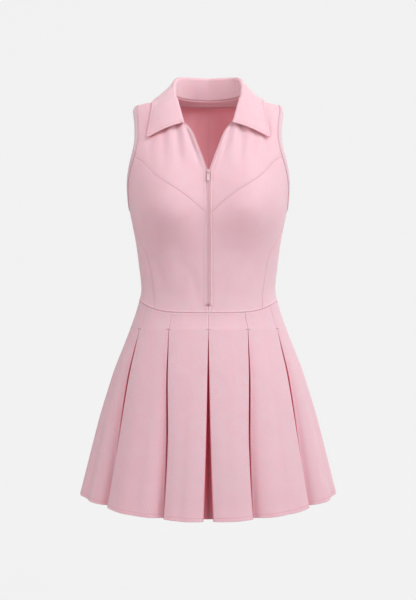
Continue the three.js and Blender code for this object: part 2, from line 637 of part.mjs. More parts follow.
function zipSlider() {
  const front = CHAIN.thick / 2 + SLIDER.clear;
  const body = roundedShape(SLIDER.width, SLIDER.long, SLIDER.corner);
  const { half, top, bottom, inside, bar, leg } = BRIDGE;
  const root = front + SLIDER.plate / 2;
  const parts = [
    plate(body, front, front + SLIDER.plate),
    plate(body, -front - SLIDER.plate, -front),
    block(-POST.half, POST.half, -front - SLIDER.plate / 2, root, POST.bottom, POST.top),
    block(-half, half, root, inside + bar, top - leg, top),
    block(-half, half, root, inside + bar, bottom, bottom + leg),
    block(-half, half, inside, inside + bar, bottom, top),
  ];
  return geometryOfSolid(parts.map(solidOf).reduce((joined, next) => joined.add(next)));
}

function pullTab() {
  const { bar, width, waist: narrow, long, thick, windowHalf, window: opening } = TAB;
  const at = (x, z) => new THREE.Vector2(x, z);
  const shape = new THREE.Shape([
    at(-narrow / 2, bar / 2), at(-narrow / 2, -opening), ...arcPoints(0, width / 2 - long, width / 2, 180, 360, 8),
    at(narrow / 2, -opening), at(narrow / 2, bar / 2),
  ]);
  const cut = block(-windowHalf, windowHalf, -thick, thick, -opening, -bar / 2);
  return geometryOfSolid(solidOf(plate(shape, -thick / 2, thick / 2)).subtract(solidOf(cut)));
}

const bottomStop = () => block(-STOP.width / 2, STOP.width / 2, -STOP.thick / 2, STOP.thick / 2, -STOP.tall, 0);

// Skirt outline at a share of the way from the tacks (0) to the hem (1); -1 is the waist seam
const skirtSection = (share) => readRow(SKIRT_OUTLINE, rowAt(SKIRT_OUTLINE, 'share', share));

const flatDistance = (a, b) => Math.hypot(a.x - b.x, a.y - b.y);

function skirtPoint(angle, share, section) {
  const sine = Math.sin(degrees(angle));
  const cosine = Math.cos(degrees(angle));
  const power = 2 / section.square;
  const depth = cosine > 0 ? section.front : section.back;
  const seam = bodicePoint([angle, 0]).z - WAIST_GAP;
  const hem = HEM_HEIGHT - HEM_DIP.front * Math.max(cosine, 0) ** HEM_DIP.power;
  const z = share < 0 ? mix(TACK_HEIGHT, seam, -share) : mix(TACK_HEIGHT, hem, share);
  return new THREE.Vector3(section.half * signedPower(sine, power), -depth * signedPower(cosine, power), z);
}

// The outline at one level, with lengths measured round it
function skirtOutline(share) {
  const section = skirtSection(share);
  const at = (angle) => skirtPoint(angle, share, section);
  const angles = steps(FINE.outline).map((t) => mix(-20, 200, t));
  const run = [0];
  for (let i = 1; i < angles.length; i += 1) run.push(run[i - 1] + flatDistance(at(angles[i]), at(angles[i - 1])));
  const read = (from, to, value) => {
    let low = 0;
    let high = from.length - 1;
    while (high - low > 1) {
      const middle = (low + high) >> 1;
      if (from[middle] < value) low = middle;
      else high = middle;
    }
    return mix(to[low], to[high], (value - from[low]) / (from[high] - from[low]));
  };
  return { at, lengthAt: (angle) => read(angles, run, angle), angleAt: (length) => read(run, angles, length) };
}

// The pleat's fold from the panel's edge to the middle of its underlay, as steps along the skirt (t) and
// into it (n), for the side of the pleat that lies at t > 0
function pleatFold(share) {
  const open = Math.max(share, 0);
  const opened = PLEAT.openGap * (1 - Math.exp(-open / PLEAT.openingRate));
  const gap = PLEAT.closedGap + opened + PLEAT.hemGap * open ** 4;
  const lean = degrees(mix(PLEAT.leanTop, PLEAT.leanHem, 1 - (1 - open) ** 2));
  const fold = mix(PLEAT.foldTop, PLEAT.foldHem, open);
  const radius = mix(PLEAT.radiusTop, PLEAT.radiusHem, open);
  const start = { t: gap / 2 + radius, n: 0 };
  const turned = (angle) => ({ t: start.t - radius * Math.sin(angle), n: radius * (1 - Math.cos(angle)) });
  const edge = [0, 0.5, 1].map((share01) => turned((Math.PI - lean) * share01));
  const inner = { t: edge[2].t + fold * Math.cos(lean), n: edge[2].n + fold * Math.sin(lean) };
  const flat = {
    t: inner.t - radius * Math.sin(lean), n: inner.n + radius * Math.cos(lean) + radius,
  };
  return [...edge, inner, flat, { t: 0, n: flat.n }];
}

// Walks across one gore of the skirt at one level, from the middle of one pleat to the middle of the next
function goreRow(share, isBack, k) {
  const { at, lengthAt, angleAt } = skirtOutline(share);
  const open = Math.max(share, 0);
  const fold = pleatFold(share);
  const angles = [PLEATS[k], PLEATS[k + 1]].map(({ tacked, hem }) => mix(hem, tacked, (1 - open) ** 2));
  const [from, to] = (isBack ? angles.map((a) => 180 - a).reverse() : angles).map(lengthAt);
  const alongAt = (length) => (
    at(angleAt(length + ALONG_STEP)).sub(at(angleAt(length - ALONG_STEP))).setZ(0).normalize()
  );
  const placed = (length, inward) => {
    const along = alongAt(length);
    return at(angleAt(length)).add(new THREE.Vector3(-along.y, along.x, 0).multiplyScalar(inward));
  };
  const start = from + fold[0].t;
  const end = to - fold[0].t;
  const ease = open ** 1.3;
  const face = steps(COUNT.panel + 1).slice(1, -1).map((u) => {
    const swell = PANELS[k].swell * Math.sin(Math.PI * u);
    const trough = PANELS[k].trough * Math.exp(-(((u - 0.5) / TROUGH_WIDTH) ** 2));
    const fromSunk = isBack ? 1 - u : u;
    const sink = PANELS[k].sink * Math.exp(-((fromSunk / SINK_WIDTH) ** 2));
    return placed(mix(start, end, u), (sink + trough - swell) * ease);
  });
  // Only the edge nearer the middle is sunk. The middle of an underlay, where two gores meet, sinks half as far
  const near = { edge: PANELS[k].sink, underlay: PANELS[k].sink / 2 };
  const far = { edge: 0, underlay: (PANELS[k + 1]?.sink ?? 0) / 2 };
  const [first, last] = isBack ? [far, near] : [near, far];
  const folded = (corner, way, { edge, underlay }) => fold.map(({ t, n }, i) => (
    placed(corner + way * t, n + (i === fold.length - 1 ? underlay : edge) * ease)
  ));
  const points = [...folded(from, 1, first).reverse(), ...face, ...folded(to, -1, last)];
  return { points, ends: [alongAt(from), alongAt(to)] };
}

// One gore of the skirt as a wall, with its thickness laid out level by level
function skirtGore(isBack, k) {
  const grids = [[], []];
  for (const share of SKIRT_ROWS) {
    const { points: row, ends } = goreRow(share, isBack, k);
    const last = row.length - 1;
    const direction = (a, b) => new THREE.Vector2(b.x - a.x, b.y - a.y).normalize();
    const sides = [[], []];
    row.forEach((p, i) => {
      const before = direction(row[Math.max(i - 1, 0)], row[Math.max(i, 1)]);
      const after = direction(row[Math.min(i, last - 1)], row[Math.min(i + 1, last)]);
      const normal = new THREE.Vector2(before.y + after.y, -before.x - after.x).normalize();
      const seam = new THREE.Vector3();
      if (i === 0 || i === last) {
        const along = ends[i === 0 ? 0 : 1];
        normal.set(along.y, -along.x);
        seam.copy(along).multiplyScalar((i === 0 ? 1 : -1) * SEAM_GAP / 2);
      }
      const spread = (CLOTH / 2) / Math.max(normal.dot(new THREE.Vector2(before.y, -before.x)), MITRE);
      [1, -1].forEach((way, side) => {
        const off = new THREE.Vector3(normal.x, normal.y, 0).multiplyScalar(way * spread);
        sides[side].push(p.clone().add(seam).add(off));
      });
    });
    grids[0].push(sides[0]);
    grids[1].push(sides[1]);
  }
  return wallGeometry(grids[0], grids[1]);
}

function mirroredGeometry(geometry) {
  const flipped = geometry.clone().scale(-1, 1, 1);
  const index = [...geometry.index.array];
  for (let i = 0; i < index.length; i += 3) [index[i + 1], index[i + 2]] = [index[i + 2], index[i + 1]];
  flipped.setIndex(index);
  return flipped;
}

const dress = new THREE.Group();

function addMesh(name, geometry, colour, roughness, metalness, parent = dress) {
  const mesh = new THREE.Mesh(geometry, new THREE.MeshStandardMaterial({ color: colour, roughness, metalness }));
  mesh.name = name;
  parent.add(mesh);
  return mesh;
}

const addCloth = (name, geometry) => addMesh(name, geometry, COLOURS.cloth, 0.75, 0);

function addPair(name, geometry, colour = COLOURS.cloth, roughness = 0.75) {
  addMesh(`${name}_right`, geometry, colour, roughness, 0);
  addMesh(`${name}_left`, mirroredGeometry(geometry), colour, roughness, 0);
}

addPair('front_yoke', frontYoke());
addPair('front_body', frontBody());
addPair('side_panel', sidePanel());
addPair('back_body', backBody());
addPair('armhole_binding', armholeBinding());
addPair('zip_chain', zipChain(), COLOURS.zip, 0.5);
const { stand, leaf } = collarPieces();
addCloth('collar_stand', stand);
addCloth('collar_leaf', leaf);
addCloth('neck_tape', neckTape());
PANELS.forEach((panel, k) => {
  addPair(`skirt_front_${panel.at}`, skirtGore(false, k));
  addPair(`skirt_back_${panel.at}`, skirtGore(true, k));
});

// The slider and its tab lie on the cloth, so they take its slope at the top of the closed zip
const sliderPlace = frontPlace({ x: 0, z: SLIDER.height });
const sliderNormal = bodiceNormal(sliderPlace);
const slope = Math.atan2(sliderNormal.z, -sliderNormal.y);
const zipHead = new THREE.Group();
zipHead.position.copy(bodicePoint(sliderPlace));
zipHead.rotation.x = -slope;
dress.add(zipHead);
addMesh('zip_slider', zipSlider(), COLOURS.metal, 0.35, 0.6, zipHead);
const tab = addMesh('zip_pull_tab', pullTab(), COLOURS.metal, 0.35, 0.6, zipHead);
tab.position.set(0, -TAB.pinOut, TAB.pinUp);

const stop = addMesh('zip_bottom_stop', bottomStop(), COLOURS.metal, 0.35, 0.6);
stop.position.copy(bodicePoint(frontPlace({ x: 0, z: ZIP_BOTTOM - SEAM_GAP })));

export default dress;
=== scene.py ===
# Sleeveless half-zip tennis dress: cloth, collar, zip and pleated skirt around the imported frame.
# Forms are worked out in millimetres, and made into meshes in metres.
import math

import bmesh
import bpy
import numpy as np
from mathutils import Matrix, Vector


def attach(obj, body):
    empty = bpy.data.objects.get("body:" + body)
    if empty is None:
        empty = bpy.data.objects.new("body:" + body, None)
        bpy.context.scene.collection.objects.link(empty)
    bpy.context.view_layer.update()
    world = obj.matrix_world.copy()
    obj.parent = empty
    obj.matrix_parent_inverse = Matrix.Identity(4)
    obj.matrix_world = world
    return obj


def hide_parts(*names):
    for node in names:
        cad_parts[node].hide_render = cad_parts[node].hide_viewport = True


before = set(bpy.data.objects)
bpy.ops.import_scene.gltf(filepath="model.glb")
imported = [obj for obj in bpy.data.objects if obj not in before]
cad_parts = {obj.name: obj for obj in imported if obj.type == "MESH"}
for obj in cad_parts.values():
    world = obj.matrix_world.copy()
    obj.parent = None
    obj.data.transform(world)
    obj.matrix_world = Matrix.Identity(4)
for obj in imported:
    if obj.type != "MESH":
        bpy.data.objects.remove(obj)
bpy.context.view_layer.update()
mm = 0.001
print("frame loaded:", len(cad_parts), "nodes")


def smoothStep(value, low, high):
    t = np.clip((np.asarray(value, float) - low) / (high - low), 0, 1)
    return t * t * (3 - 2 * t)


def hump(value, centre, wide):
    return np.exp(-(((value - centre) / wide) ** 2))


def signedPower(value, power):
    return np.sign(value) * np.abs(value) ** power


def unit(vectors):
    return vectors / np.maximum(np.linalg.norm(vectors, axis=-1, keepdims=True), 1e-12)


def readRows(table, row):
    # smooth curve through a table's rows, read at fractional rows
    table = np.asarray(table, float)
    row = np.asarray(row, float)
    i = np.clip(np.floor(row).astype(int), 0, len(table) - 2)
    t = (row - i)[..., None]
    a, b, c, d = (table[np.clip(i + k, 0, len(table) - 1)] for k in (-1, 0, 1, 2))
    slopeB, slopeC = (c - a) / 2, (d - b) / 2
    cubic = 2 * b - 2 * c + slopeB + slopeC
    square = -3 * b + 3 * c - 2 * slopeB - slopeC
    return ((cubic * t + square) * t + slopeB) * t + b


def denserAtEnds(count, sharp=0.8):
    t = np.linspace(0, 1, count + 1)
    return t - sharp * np.sin(2 * np.pi * t) / (2 * np.pi)


def lengthsAlong(points, axis):
    step = np.linalg.norm(np.diff(points, axis=axis), axis=-1)
    start = np.zeros_like(np.take(step, [0], axis=axis))
    return np.concatenate([start, np.cumsum(step, axis=axis)], axis=axis)


def readAt(goal, run, values):
    # rows of values, each known at a length along a line, read at other lengths
    return np.stack([np.interp(goal, run, values[:, k]) for k in range(values.shape[1])], -1)


def gridNormals(grid):
    return unit(np.cross(np.gradient(grid, axis=1), np.gradient(grid, axis=0)))


bodice = {
    # height at the side, half width, front depth, back depth, squareness, drop at the middle of the front
    # and of the back
    "sections": [
        (-413, 137, 97, 86, 2.3, 23, 6),
        (-387, 133, 95, 82, 2.3, 14, 4),
        (-340, 138, 98, 86, 2.3, 5, 2),
        (-296, 144, 101, 92, 2.3, 0, 0),
        (-240, 155, 101, 97, 2.3, 0, 0),
        (-205, 161, 99, 99, 2.3, 0, 0),
        (-165, 165, 95, 100, 2.3, 0, 0),
        (-117, 166, 85, 99, 2.3, 0, 0),
        (-70, 160, 67, 92, 2.2, 0, 0),
        (-28, 147, 45, 79, 2.1, 0, 0),
        (-16, 108, 29, 69, 2.05, 0, 0),
        (0, 68, 0.5, 58, 2, 0, 3),
    ],
    "cup": {
        "side": 86, "height": -234, "fullness": 30, "spread": 47, "above": 68, "below": 42, "ends": 0.55,
    },
    "dipPowers": (1.25, 1.5),  # how fast the drops fade towards the sides, front and back
    "zipEdge": 3.2,
    "zipTop": -166,
    "zipBottom": -417,
    "placketOpen": -420,
    "placketClosed": -424,
    "openEdge": [(3.2, -166), (11.5, -143), (20.5, -119), (31, -91), (41, -75), (50, -66)],
    "neckSeam": [(50, -66), (60, -56), (67.5, -38), (71, -17)],
    "yokeSeam": [(3.2, -248), (19.5, -232), (37, -217), (59, -201), (81, -187), (104, -169), (125, -145)],
    # angle round from the middle of the front, and section
    "sideFrontSeam": [(46.5, 0), (49.8, 1), (53, 2), (57.5, 2.55), (65, 2.95), (74.5, 3.43), (79.5, 4)],
    "sideBackSeam": [(127, 0), (125, 1), (121, 2), (112, 3), (102, 4)],
}
armhole = {
    # heights, half widths in degrees round the body, and the angles round it at which seams meet it
    "top": -28, "bottom": -223, "frontWide": 32, "backWide": 28, "foot": 16,
    "yokeTurn": 91.5, "sideFrontTurn": 152, "sideBackTurn": 208,
    "binding": 9.5, "bindingCloth": 0.8, "stitchAt": 1.6, "flat": (0.56, 0.0225),
    # its two pressed lines, as shares of its width, their depth and width, and the height of its puckers
    "pressedAt": (0.82, 0.2), "pressed": 0.22, "pressedWide": 0.07, "pucker": 0.1,
    # its painted shade lines, along its edges and near them: how deep, how far from its ends and how wide
    "lines": ((0.5, 0, 1.0), (0.3, 2.6, 0.6)),
}
sectionTable = np.array(bodice["sections"], float)
neckLevel = len(sectionTable) - 1
fineLevels = np.linspace(0, neckLevel, 4401)
fineHeights = readRows(sectionTable, fineLevels)[:, 0]


def levelAt(z):
    return np.interp(z, fineHeights, fineLevels)


def frontDipShare(cosine):
    return np.sin(np.pi / 2 * np.maximum(cosine, 0) ** bodice["dipPowers"][0]) ** 2


def cupFullness(x, z, cosine):
    cup = bodice["cup"]
    tall = np.where(z > cup["height"], cup["above"], cup["below"])
    upDown = np.exp(-0.5 * ((z - cup["height"]) / tall) ** 2)
    across = sum(np.exp(-0.5 * ((x - c) / cup["spread"]) ** 2) for c in (-cup["side"], cup["side"]))
    return cup["fullness"] * upDown * across * smoothStep(cosine, 0, cup["ends"])


def bodicePoint(place):
    angle, level = place[..., 0], place[..., 1]
    height, half, front, back, square, frontDip, backDip = np.moveaxis(readRows(sectionTable, level), -1, 0)
    sine, cosine = np.sin(np.radians(angle)), np.cos(np.radians(angle))
    backShare = np.maximum(-cosine, 0) ** bodice["dipPowers"][1]
    dip = np.where(cosine > 0, frontDip * frontDipShare(cosine), backDip * backShare)
    x = half * signedPower(sine, 2 / square)
    z = height - dip
    y = -np.where(cosine > 0, front, back) * signedPower(cosine, 2 / square) - cupFullness(x, z, cosine)
    return np.stack([x, y, z], -1)


def bodiceNormal(place):
    turn, rise = np.array([0.2, 0.0]), np.array([0.0, 0.01])
    above = place + rise
    above[..., 1] = np.minimum(above[..., 1], neckLevel)
    around = bodicePoint(place + turn) - bodicePoint(place - turn)
    return unit(np.cross(around, bodicePoint(above) - bodicePoint(place - rise)))


def frontPlace(x, z):
    level = levelAt(z)
    for _ in range(12):
        row = readRows(sectionTable, level)
        angle = np.arcsin(np.minimum(x / row[..., 1], 1) ** (row[..., 4] / 2))
        level = levelAt(z + row[..., 5] * frontDipShare(np.cos(angle)))
    return np.stack([np.degrees(angle), level], -1)


def nearestPlace(target, place):
    place = place.copy()
    turn, rise = np.array([0.05, 0.0]), np.array([0.0, 0.002])
    for _ in range(25):
        byAngle = (bodicePoint(place + turn) - bodicePoint(place - turn)) / 0.1
        byLevel = (bodicePoint(place + rise) - bodicePoint(place - rise)) / 0.004
        miss = target - bodicePoint(place)
        aa, al, ll = (byAngle**2).sum(-1), (byAngle * byLevel).sum(-1), (byLevel**2).sum(-1)
        ma, ml = (miss * byAngle).sum(-1), (miss * byLevel).sum(-1)
        whole = aa * ll - al * al
        place[..., 0] += 0.7 * (ll * ma - al * ml) / whole
        place[..., 1] = np.clip(place[..., 1] + 0.7 * (aa * ml - al * ma) / whole, 0, neckLevel)
    return place


def evenCurve(places, count=400):
    # many places, evenly spaced along the cloth, on the smooth curve through a few
    fine = readRows(places, np.linspace(0, len(places) - 1, 801))
    run = lengthsAlong(bodicePoint(fine), 0)
    goal = np.linspace(0, run[-1], count + 1)
    return readAt(goal, run, fine)


def armholeEdge(turn):
    middle = (armhole["top"] + armhole["bottom"]) / 2
    tall = (armhole["top"] - armhole["bottom"]) / 2
    turn = np.asarray(turn, float)
    cosine = np.cos(np.radians(turn))
    wide = np.where(turn < 180, armhole["frontWide"], armhole["backWide"])
    spread = armhole["foot"] + (wide - armhole["foot"]) * smoothStep(cosine, -0.75, 0.35)
    return np.stack([90 - np.sin(np.radians(turn)) * spread, levelAt(middle + tall * cosine)], -1)


def armholeCut(turn):
    turn = np.asarray(turn, float)
    place = armholeEdge(turn)
    along = bodicePoint(armholeEdge(turn + 0.5)) - bodicePoint(armholeEdge(turn - 0.5))
    away = unit(np.cross(along, bodiceNormal(place)))
    return nearestPlace(bodicePoint(place) + away * armhole["binding"], place)


def turned(start, end, count=400):
    return armholeCut(np.linspace(start, end, count + 1))


def frontCurve(points):
    return [frontPlace(np.float64(x), np.float64(z)) for x, z in points]


yokeSeam = evenCurve(frontCurve(bodice["yokeSeam"]) + [armholeCut(armhole["yokeTurn"])])
sideFrontSeam = evenCurve(bodice["sideFrontSeam"] + [tuple(armholeCut(armhole["sideFrontTurn"]))])
sideBackSeam = evenCurve(bodice["sideBackSeam"] + [tuple(armholeCut(armhole["sideBackTurn"]))])
openEdge = evenCurve(frontCurve(bodice["openEdge"]))
frontNeck = evenCurve(frontCurve(bodice["neckSeam"]) + [(90, neckLevel)])
shoulderTip = armholeCut(0)
shoulderSeam = evenCurve([(90, neckLevel), (90, neckLevel - 1), (90, shoulderTip[1])])
waistMiddle = bodicePoint(np.array([0.0, 0.0]))[2]


def zipPlaces(start, end, count=200):
    z = np.linspace(start, end, count + 1)
    return frontPlace(np.full(count + 1, float(bodice["zipEdge"])), z)


def waistPlaces(start, end, count=400):
    return np.stack([np.linspace(start, end, count + 1), np.zeros(count + 1)], -1)


def chained(*parts):
    # joins edge stretches, each given as (share of the edge, places)
    shares = np.cumsum([0] + [share for share, _ in parts])
    t = np.concatenate([np.linspace(shares[k], shares[k + 1], len(p)) for k, (_, p) in enumerate(parts)])
    return t / shares[-1], np.concatenate([p for _, p in parts])


def fillPatch(bottom, top, first, last, across, upward):
    # four edges, each (positions from 0 to 1, places), sampled at the given positions
    low, high = readAt(across, *bottom)[None], readAt(across, *top)[None]
    start, end = readAt(upward, *first)[:, None], readAt(upward, *last)[:, None]
    u, v = across[None, :, None], upward[:, None, None]
    lowCorners = (1 - u) * low[:, :1] + u * low[:, -1:]
    highCorners = (1 - u) * high[:, :1] + u * high[:, -1:]
    corners = (1 - v) * lowCorners + v * highCorners
    return (1 - u) * start + u * end + (1 - v) * low + v * high - corners


def linked(name, data):
    thing = bpy.data.objects.new(name, data)
    bpy.context.collection.objects.link(thing)
    return thing


def addObject(name, mesh):
    thing = linked(name, mesh)
    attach(thing, "garment")
    return thing


def meshFromArrays(name, points, faces, uv=None, insideFrom=None, seam=None, fold=None):
    mesh = bpy.data.meshes.new(name)
    mesh.from_pydata((points * mm).tolist(), [], faces.tolist())
    mesh.shade_smooth()
    if uv is not None:
        layer = mesh.uv_layers.new(name="cloth")
        loops = np.empty(len(mesh.loops), dtype=np.int32)
        mesh.loops.foreach_get("vertex_index", loops)
        layer.data.foreach_set("uv", (uv[loops] * mm).astype(np.float32).ravel())
    # the seam and fold attributes carry painted shade: along seams and stitches, and deep in the pleats
    for key, values in (("seam", seam), ("fold", fold)):
        if values is not None:
            layer = mesh.attributes.new(key, "FLOAT", "POINT")
            layer.data.foreach_set("value", np.clip(values, 0, 1).astype(np.float32))
    if insideFrom is not None:
        index = np.zeros(len(mesh.polygons), dtype=np.int32)
        index[insideFrom[0]:insideFrom[1]] = 1
        mesh.polygons.foreach_set("material_index", index)
    mesh.update()
    return mesh


def gridFaces(rows, columns, start=0, flip=False, ring=False):
    j, i = np.meshgrid(np.arange(rows - 1), np.arange(columns if ring else columns - 1), indexing="ij")
    k = (i + 1) % columns
    quads = np.stack([j * columns + i, j * columns + k, (j + 1) * columns + k, (j + 1) * columns + i], -1)
    quads = quads.reshape(-1, 4) + start
    return quads[:, ::-1] if flip else quads


def wallMesh(name, outer, inner, uv, seam, fold=None):
    # outer and inner are grids of points with the same rows and columns
    rows, columns = outer.shape[:2]
    count = rows * columns
    out = np.arange(count).reshape(rows, columns)
    rim = np.concatenate([out[0], out[1:, -1], out[-1, ::-1][1:], out[::-1, 0][1:-1]])
    ahead = np.roll(rim, -1)
    rimFaces = np.stack([rim + count, ahead + count, ahead, rim], -1)
    outFaces, inFaces = gridFaces(rows, columns), gridFaces(rows, columns, count, True)
    faces = np.concatenate([outFaces, inFaces, rimFaces])
    points = np.concatenate([outer.reshape(-1, 3), inner.reshape(-1, 3)])
    flatUv = uv.reshape(-1, 2)
    inside = (len(outFaces), len(outFaces) + len(inFaces))
    # painted shade along seams and stitches, weaker on the inside faces; fold is painted pleat shade
    shade = np.concatenate([seam.ravel(), seamForm["insideShade"] * seam.ravel()])
    deep = None if fold is None else np.tile(fold.ravel(), 2)
    return meshFromArrays(name, points, faces, np.concatenate([flatUv, flatUv]), inside, shade, deep)


# a groove at the seam, the ridge of the seam allowance, a row of stitches pressed in, puckers, and how deep
# the painted shade is along it, standing in for the shade in the groove and the stitch row
edgeKeys = ("groove", "wide", "ridge", "ridgeAt", "stitchAt", "pucker", "shade")
edgeStyles = {
    "seam": (0.22, 0.9, 0.14, 3.4, 0, 0.07, 0.35),
    "yokeUpper": (0.18, 0.9, 0.25, 2.4, 4.4, 0.1, 0.25),
    "yokeLower": (0.2, 1.0, 0.05, 3, 0, 0.08, 0.3),
    "zip": (0.05, 0.7, 0.4, 1.8, 6.2, 0.12, 0.1),
    "binding": (0.18, 0.9, 0.1, 3, 0, 0.1, 0.3),
    "waist": (0.2, 0.7, 0.8, 2.3, 0, 0.25, 0.3),
    "plain": (0.1, 1.0, 0, 3, 0, 0, 0),
    "centreBack": (0.08, 0.8, 0.04, 3.4, 0, 0.03, 0.1),
}
edgeStyles = {name: dict(zip(edgeKeys, values)) for name, values in edgeStyles.items()}
seamForm = {
    "ridgeWide": 1.5, "pressed": 0.28, "pressedWide": 0.9, "puckerFade": 5,
    # lineWide, stitchShade and stitchShadeWide shape the painted shade along seams and stitch rows
    "lineWide": 1.25, "stitchShade": 0.14, "stitchShadeWide": 0.7,
    # the cloth is this share of its thickness at its very edge, and full this far in
    "edgeShare": 0.45, "edgeWide": 0.9,
    "insideShade": 0.4,  # the share of the shade that shows on the inside
}


def edgeLift(styleName, distance, along, seed):
    style = edgeStyles[styleName]
    lift = -style["groove"] * hump(distance, 0, style["wide"])
    lift += style["ridge"] * hump(distance, style["ridgeAt"], seamForm["ridgeWide"])
    if style["stitchAt"]:
        lift -= seamForm["pressed"] * hump(distance, style["stitchAt"], seamForm["pressedWide"])
    wave = np.sin(along / 1.9 + 1.6 * np.sin(along / 7.3 + seed) + seed)
    wave *= 0.6 + 0.4 * np.sin(along / 23 + 2 * seed)
    return lift + style["pucker"] * wave * np.exp(-distance / seamForm["puckerFade"])


def edgeShade(styleName, distance):
    # painted shade: the colour deepens along the seam and its stitch row, where the groove's shade falls
    style = edgeStyles[styleName]
    shade = style["shade"] * hump(distance, 0, seamForm["lineWide"])
    if style["stitchAt"]:
        stitched = hump(distance, style["stitchAt"], seamForm["stitchShadeWide"])
        shade = shade + seamForm["stitchShade"] * stitched
    return shade


drape = {
    "strength": 1.5, "bend": 0.14, "waves": 3.1, "fadeIn": (-0.22, 0.2), "fadeOut": (0.45, 1.15),
    # soft troughs and ridges of each side: from x, z to x, z, width, height (troughs negative)
    "front": [
        (-90, -60, -84, -168, 6.5, -1.6),
        (-64, -66, -52, -158, 6, -2.6),
        (-52, -62, -38, -150, 5.5, 1.4),
        (-40, -78, -15, -158, 4.8, -2.9),
        (-76, -64, -66, -150, 5.5, 0.9),
        (-112, -66, -112, -160, 9, -1.0),
        (44, -76, 24, -152, 4.8, -2.4),
        (56, -62, 44, -150, 5.5, 1.3),
        (69, -64, 60, -162, 6, -2.2),
        (80, -60, 74, -150, 5.5, 0.8),
        (93, -60, 88, -160, 6.5, -1.3),
        (116, -62, 104, -172, 7, -1.9),
        (124, -84, 116, -168, 5, 0.9),
        (-120, -236, -100, -300, 9, -0.9),
        (118, -232, 98, -300, 9, -0.8),
        (-60, -300, -52, -372, 12, -0.8),
        (64, -310, 56, -380, 13, -0.7),
        (-104, -330, -84, -404, 9, -1.1),
        (106, -336, 84, -404, 9, -0.9),
        (-30, -352, -20, -424, 10, -0.9),
        (34, -366, 22, -426, 9, -0.7),
    ],
    "back": [
        (-40, -40, -56, -150, 9, -1.3),
        (38, -44, 60, -160, 10, -1.2),
        (-96, -70, -88, -190, 9, -1.2),
        (100, -64, 92, -184, 9, -1.1),
        (-6, -150, -4, -300, 16, -1.2),
        (-70, -250, -60, -380, 12, -1.2),
        (66, -240, 58, -372, 12, -1.1),
        (-104, -300, -92, -404, 9, -1.0),
        (102, -310, 90, -404, 9, -1.0),
    ],
}


def drapeLift(points):
    total = np.zeros(points.shape[:-1])
    for side, facing in (("front", points[..., 1] < 0), ("back", points[..., 1] >= 0)):
        for x0, z0, x1, z1, wide, height in drape[side]:
            dx, dz = x1 - x0, z1 - z0
            t = ((points[..., 0] - x0) * dx + (points[..., 2] - z0) * dz) / (dx * dx + dz * dz)
            away = ((points[..., 0] - x0) * dz - (points[..., 2] - z0) * dx) / math.hypot(dx, dz)
            bend = drape["bend"] * wide * np.sin(drape["waves"] * t + x0)
            fade = smoothStep(t, *drape["fadeIn"]) * (1 - smoothStep(t, *drape["fadeOut"]))
            total += drape["strength"] * height * hump(away, bend, wide) * fade * facing
    return total


def clothPiece(node, places, styles, side=1, thick=1.2, depth=0, folds=True):
    # a panel cut from the bodice; styles name the bottom, top, first and last edges of the right-hand piece
    name = f"{node}_cloth"
    mid, normal = bodicePoint(places), bodiceNormal(places)
    bottom, top, first, last = styles
    if side < 0:
        mid, normal = mid[:, ::-1] * (-1, 1, 1), normal[:, ::-1] * (-1, 1, 1)
        first, last = last, first
    across, upward = lengthsAlong(mid, 1), lengthsAlong(mid, 0)
    # each edge's style, how far the cloth is from it and how far along it
    edges = {
        "bottom": (bottom, upward, across), "top": (top, upward[-1:] - upward, across),
        "first": (first, across, upward), "last": (last, across[:, -1:] - across, upward),
    }
    lift, shade = np.zeros(mid.shape[:2]), np.zeros(mid.shape[:2])
    for style, distance, along in edges.values():
        lift += edgeLift(style, distance, along, len(name) + side)
        shade = np.maximum(shade, edgeShade(style, distance))
    if folds:
        lift += drapeLift(mid)
    nearest = np.minimum.reduce([
        distance for style, distance, _ in edges.values() if style != "centreBack"])
    thin = seamForm["edgeShare"]
    half = thick / 2 * (thin + (1 - thin) * smoothStep(nearest, 0, seamForm["edgeWide"]))
    lift = lift + depth
    outer = mid + normal * (lift + half)[..., None]
    inner = mid + normal * (lift - half)[..., None]
    uv = np.stack([across - across[:, -1:] / 2, mid[..., 2]], -1)
    thing = addObject(name, wallMesh(name, outer, inner, uv, shade))
    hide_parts(node)
    distances = {edge: distance for edge, (_, distance, _) in edges.items()}
    return {"object": thing, "outer": outer, "inner": inner, "normal": normal, "distances": distances}


def lineOnCloth(piece, edge, distance, fromRow=0, trim=0):
    # a line on the cloth's outside at a distance from one edge: each row is a point and the way it faces
    grid, away = np.concatenate([piece["outer"], piece["normal"]], -1), piece["distances"][edge]
    if edge in ("first", "last"):
        grid, away = np.swapaxes(grid, 0, 1)[:, fromRow:], away.T[:, fromRow:]
    if edge in ("top", "last"):
        grid, away = grid[::-1], away[::-1]
    line = np.array([readAt(distance, away[:, c], grid[:, c]) for c in range(grid.shape[1])])
    run = lengthsAlong(line[:, :3], 0)
    return line[(run >= trim) & (run <= run[-1] - trim)]


seamColumns = denserAtEnds(56)
evenSteps = np.linspace(0, 1, 401)
sides = ((1, "right"), (-1, "left"))
turns = armhole["yokeTurn"], armhole["sideFrontTurn"], armhole["sideBackTurn"]
yokeFoot = bodice["yokeSeam"][0][1]

yokeInner = chained((3, zipPlaces(yokeFoot, bodice["zipTop"])), (6, openEdge), (8, frontNeck))
yokePlaces = fillPatch(
    (evenSteps, yokeSeam), (evenSteps, shoulderSeam), yokeInner, (evenSteps, turned(turns[0], 0)),
    seamColumns, np.union1d(denserAtEnds(98), [3 / 17, 9 / 17]),
)
placketFoot = np.array([frontPlace(np.float64(x), np.float64(z)) for x, z in (
    (0, waistMiddle), (0, bodice["placketClosed"]), (bodice["zipEdge"], bodice["placketOpen"]))])
bodyInner = chained(
    (1, placketFoot[:2]), (1, placketFoot[1:]), (12, zipPlaces(bodice["placketOpen"], yokeFoot)))
bodyPlaces = fillPatch(
    (evenSteps, waistPlaces(0, sideFrontSeam[0, 0])), (evenSteps, yokeSeam), bodyInner,
    chained((9, sideFrontSeam), (5, turned(turns[1], turns[0]))),
    seamColumns, np.union1d(denserAtEnds(104), [1 / 14, 2 / 14, 9 / 14]),
)
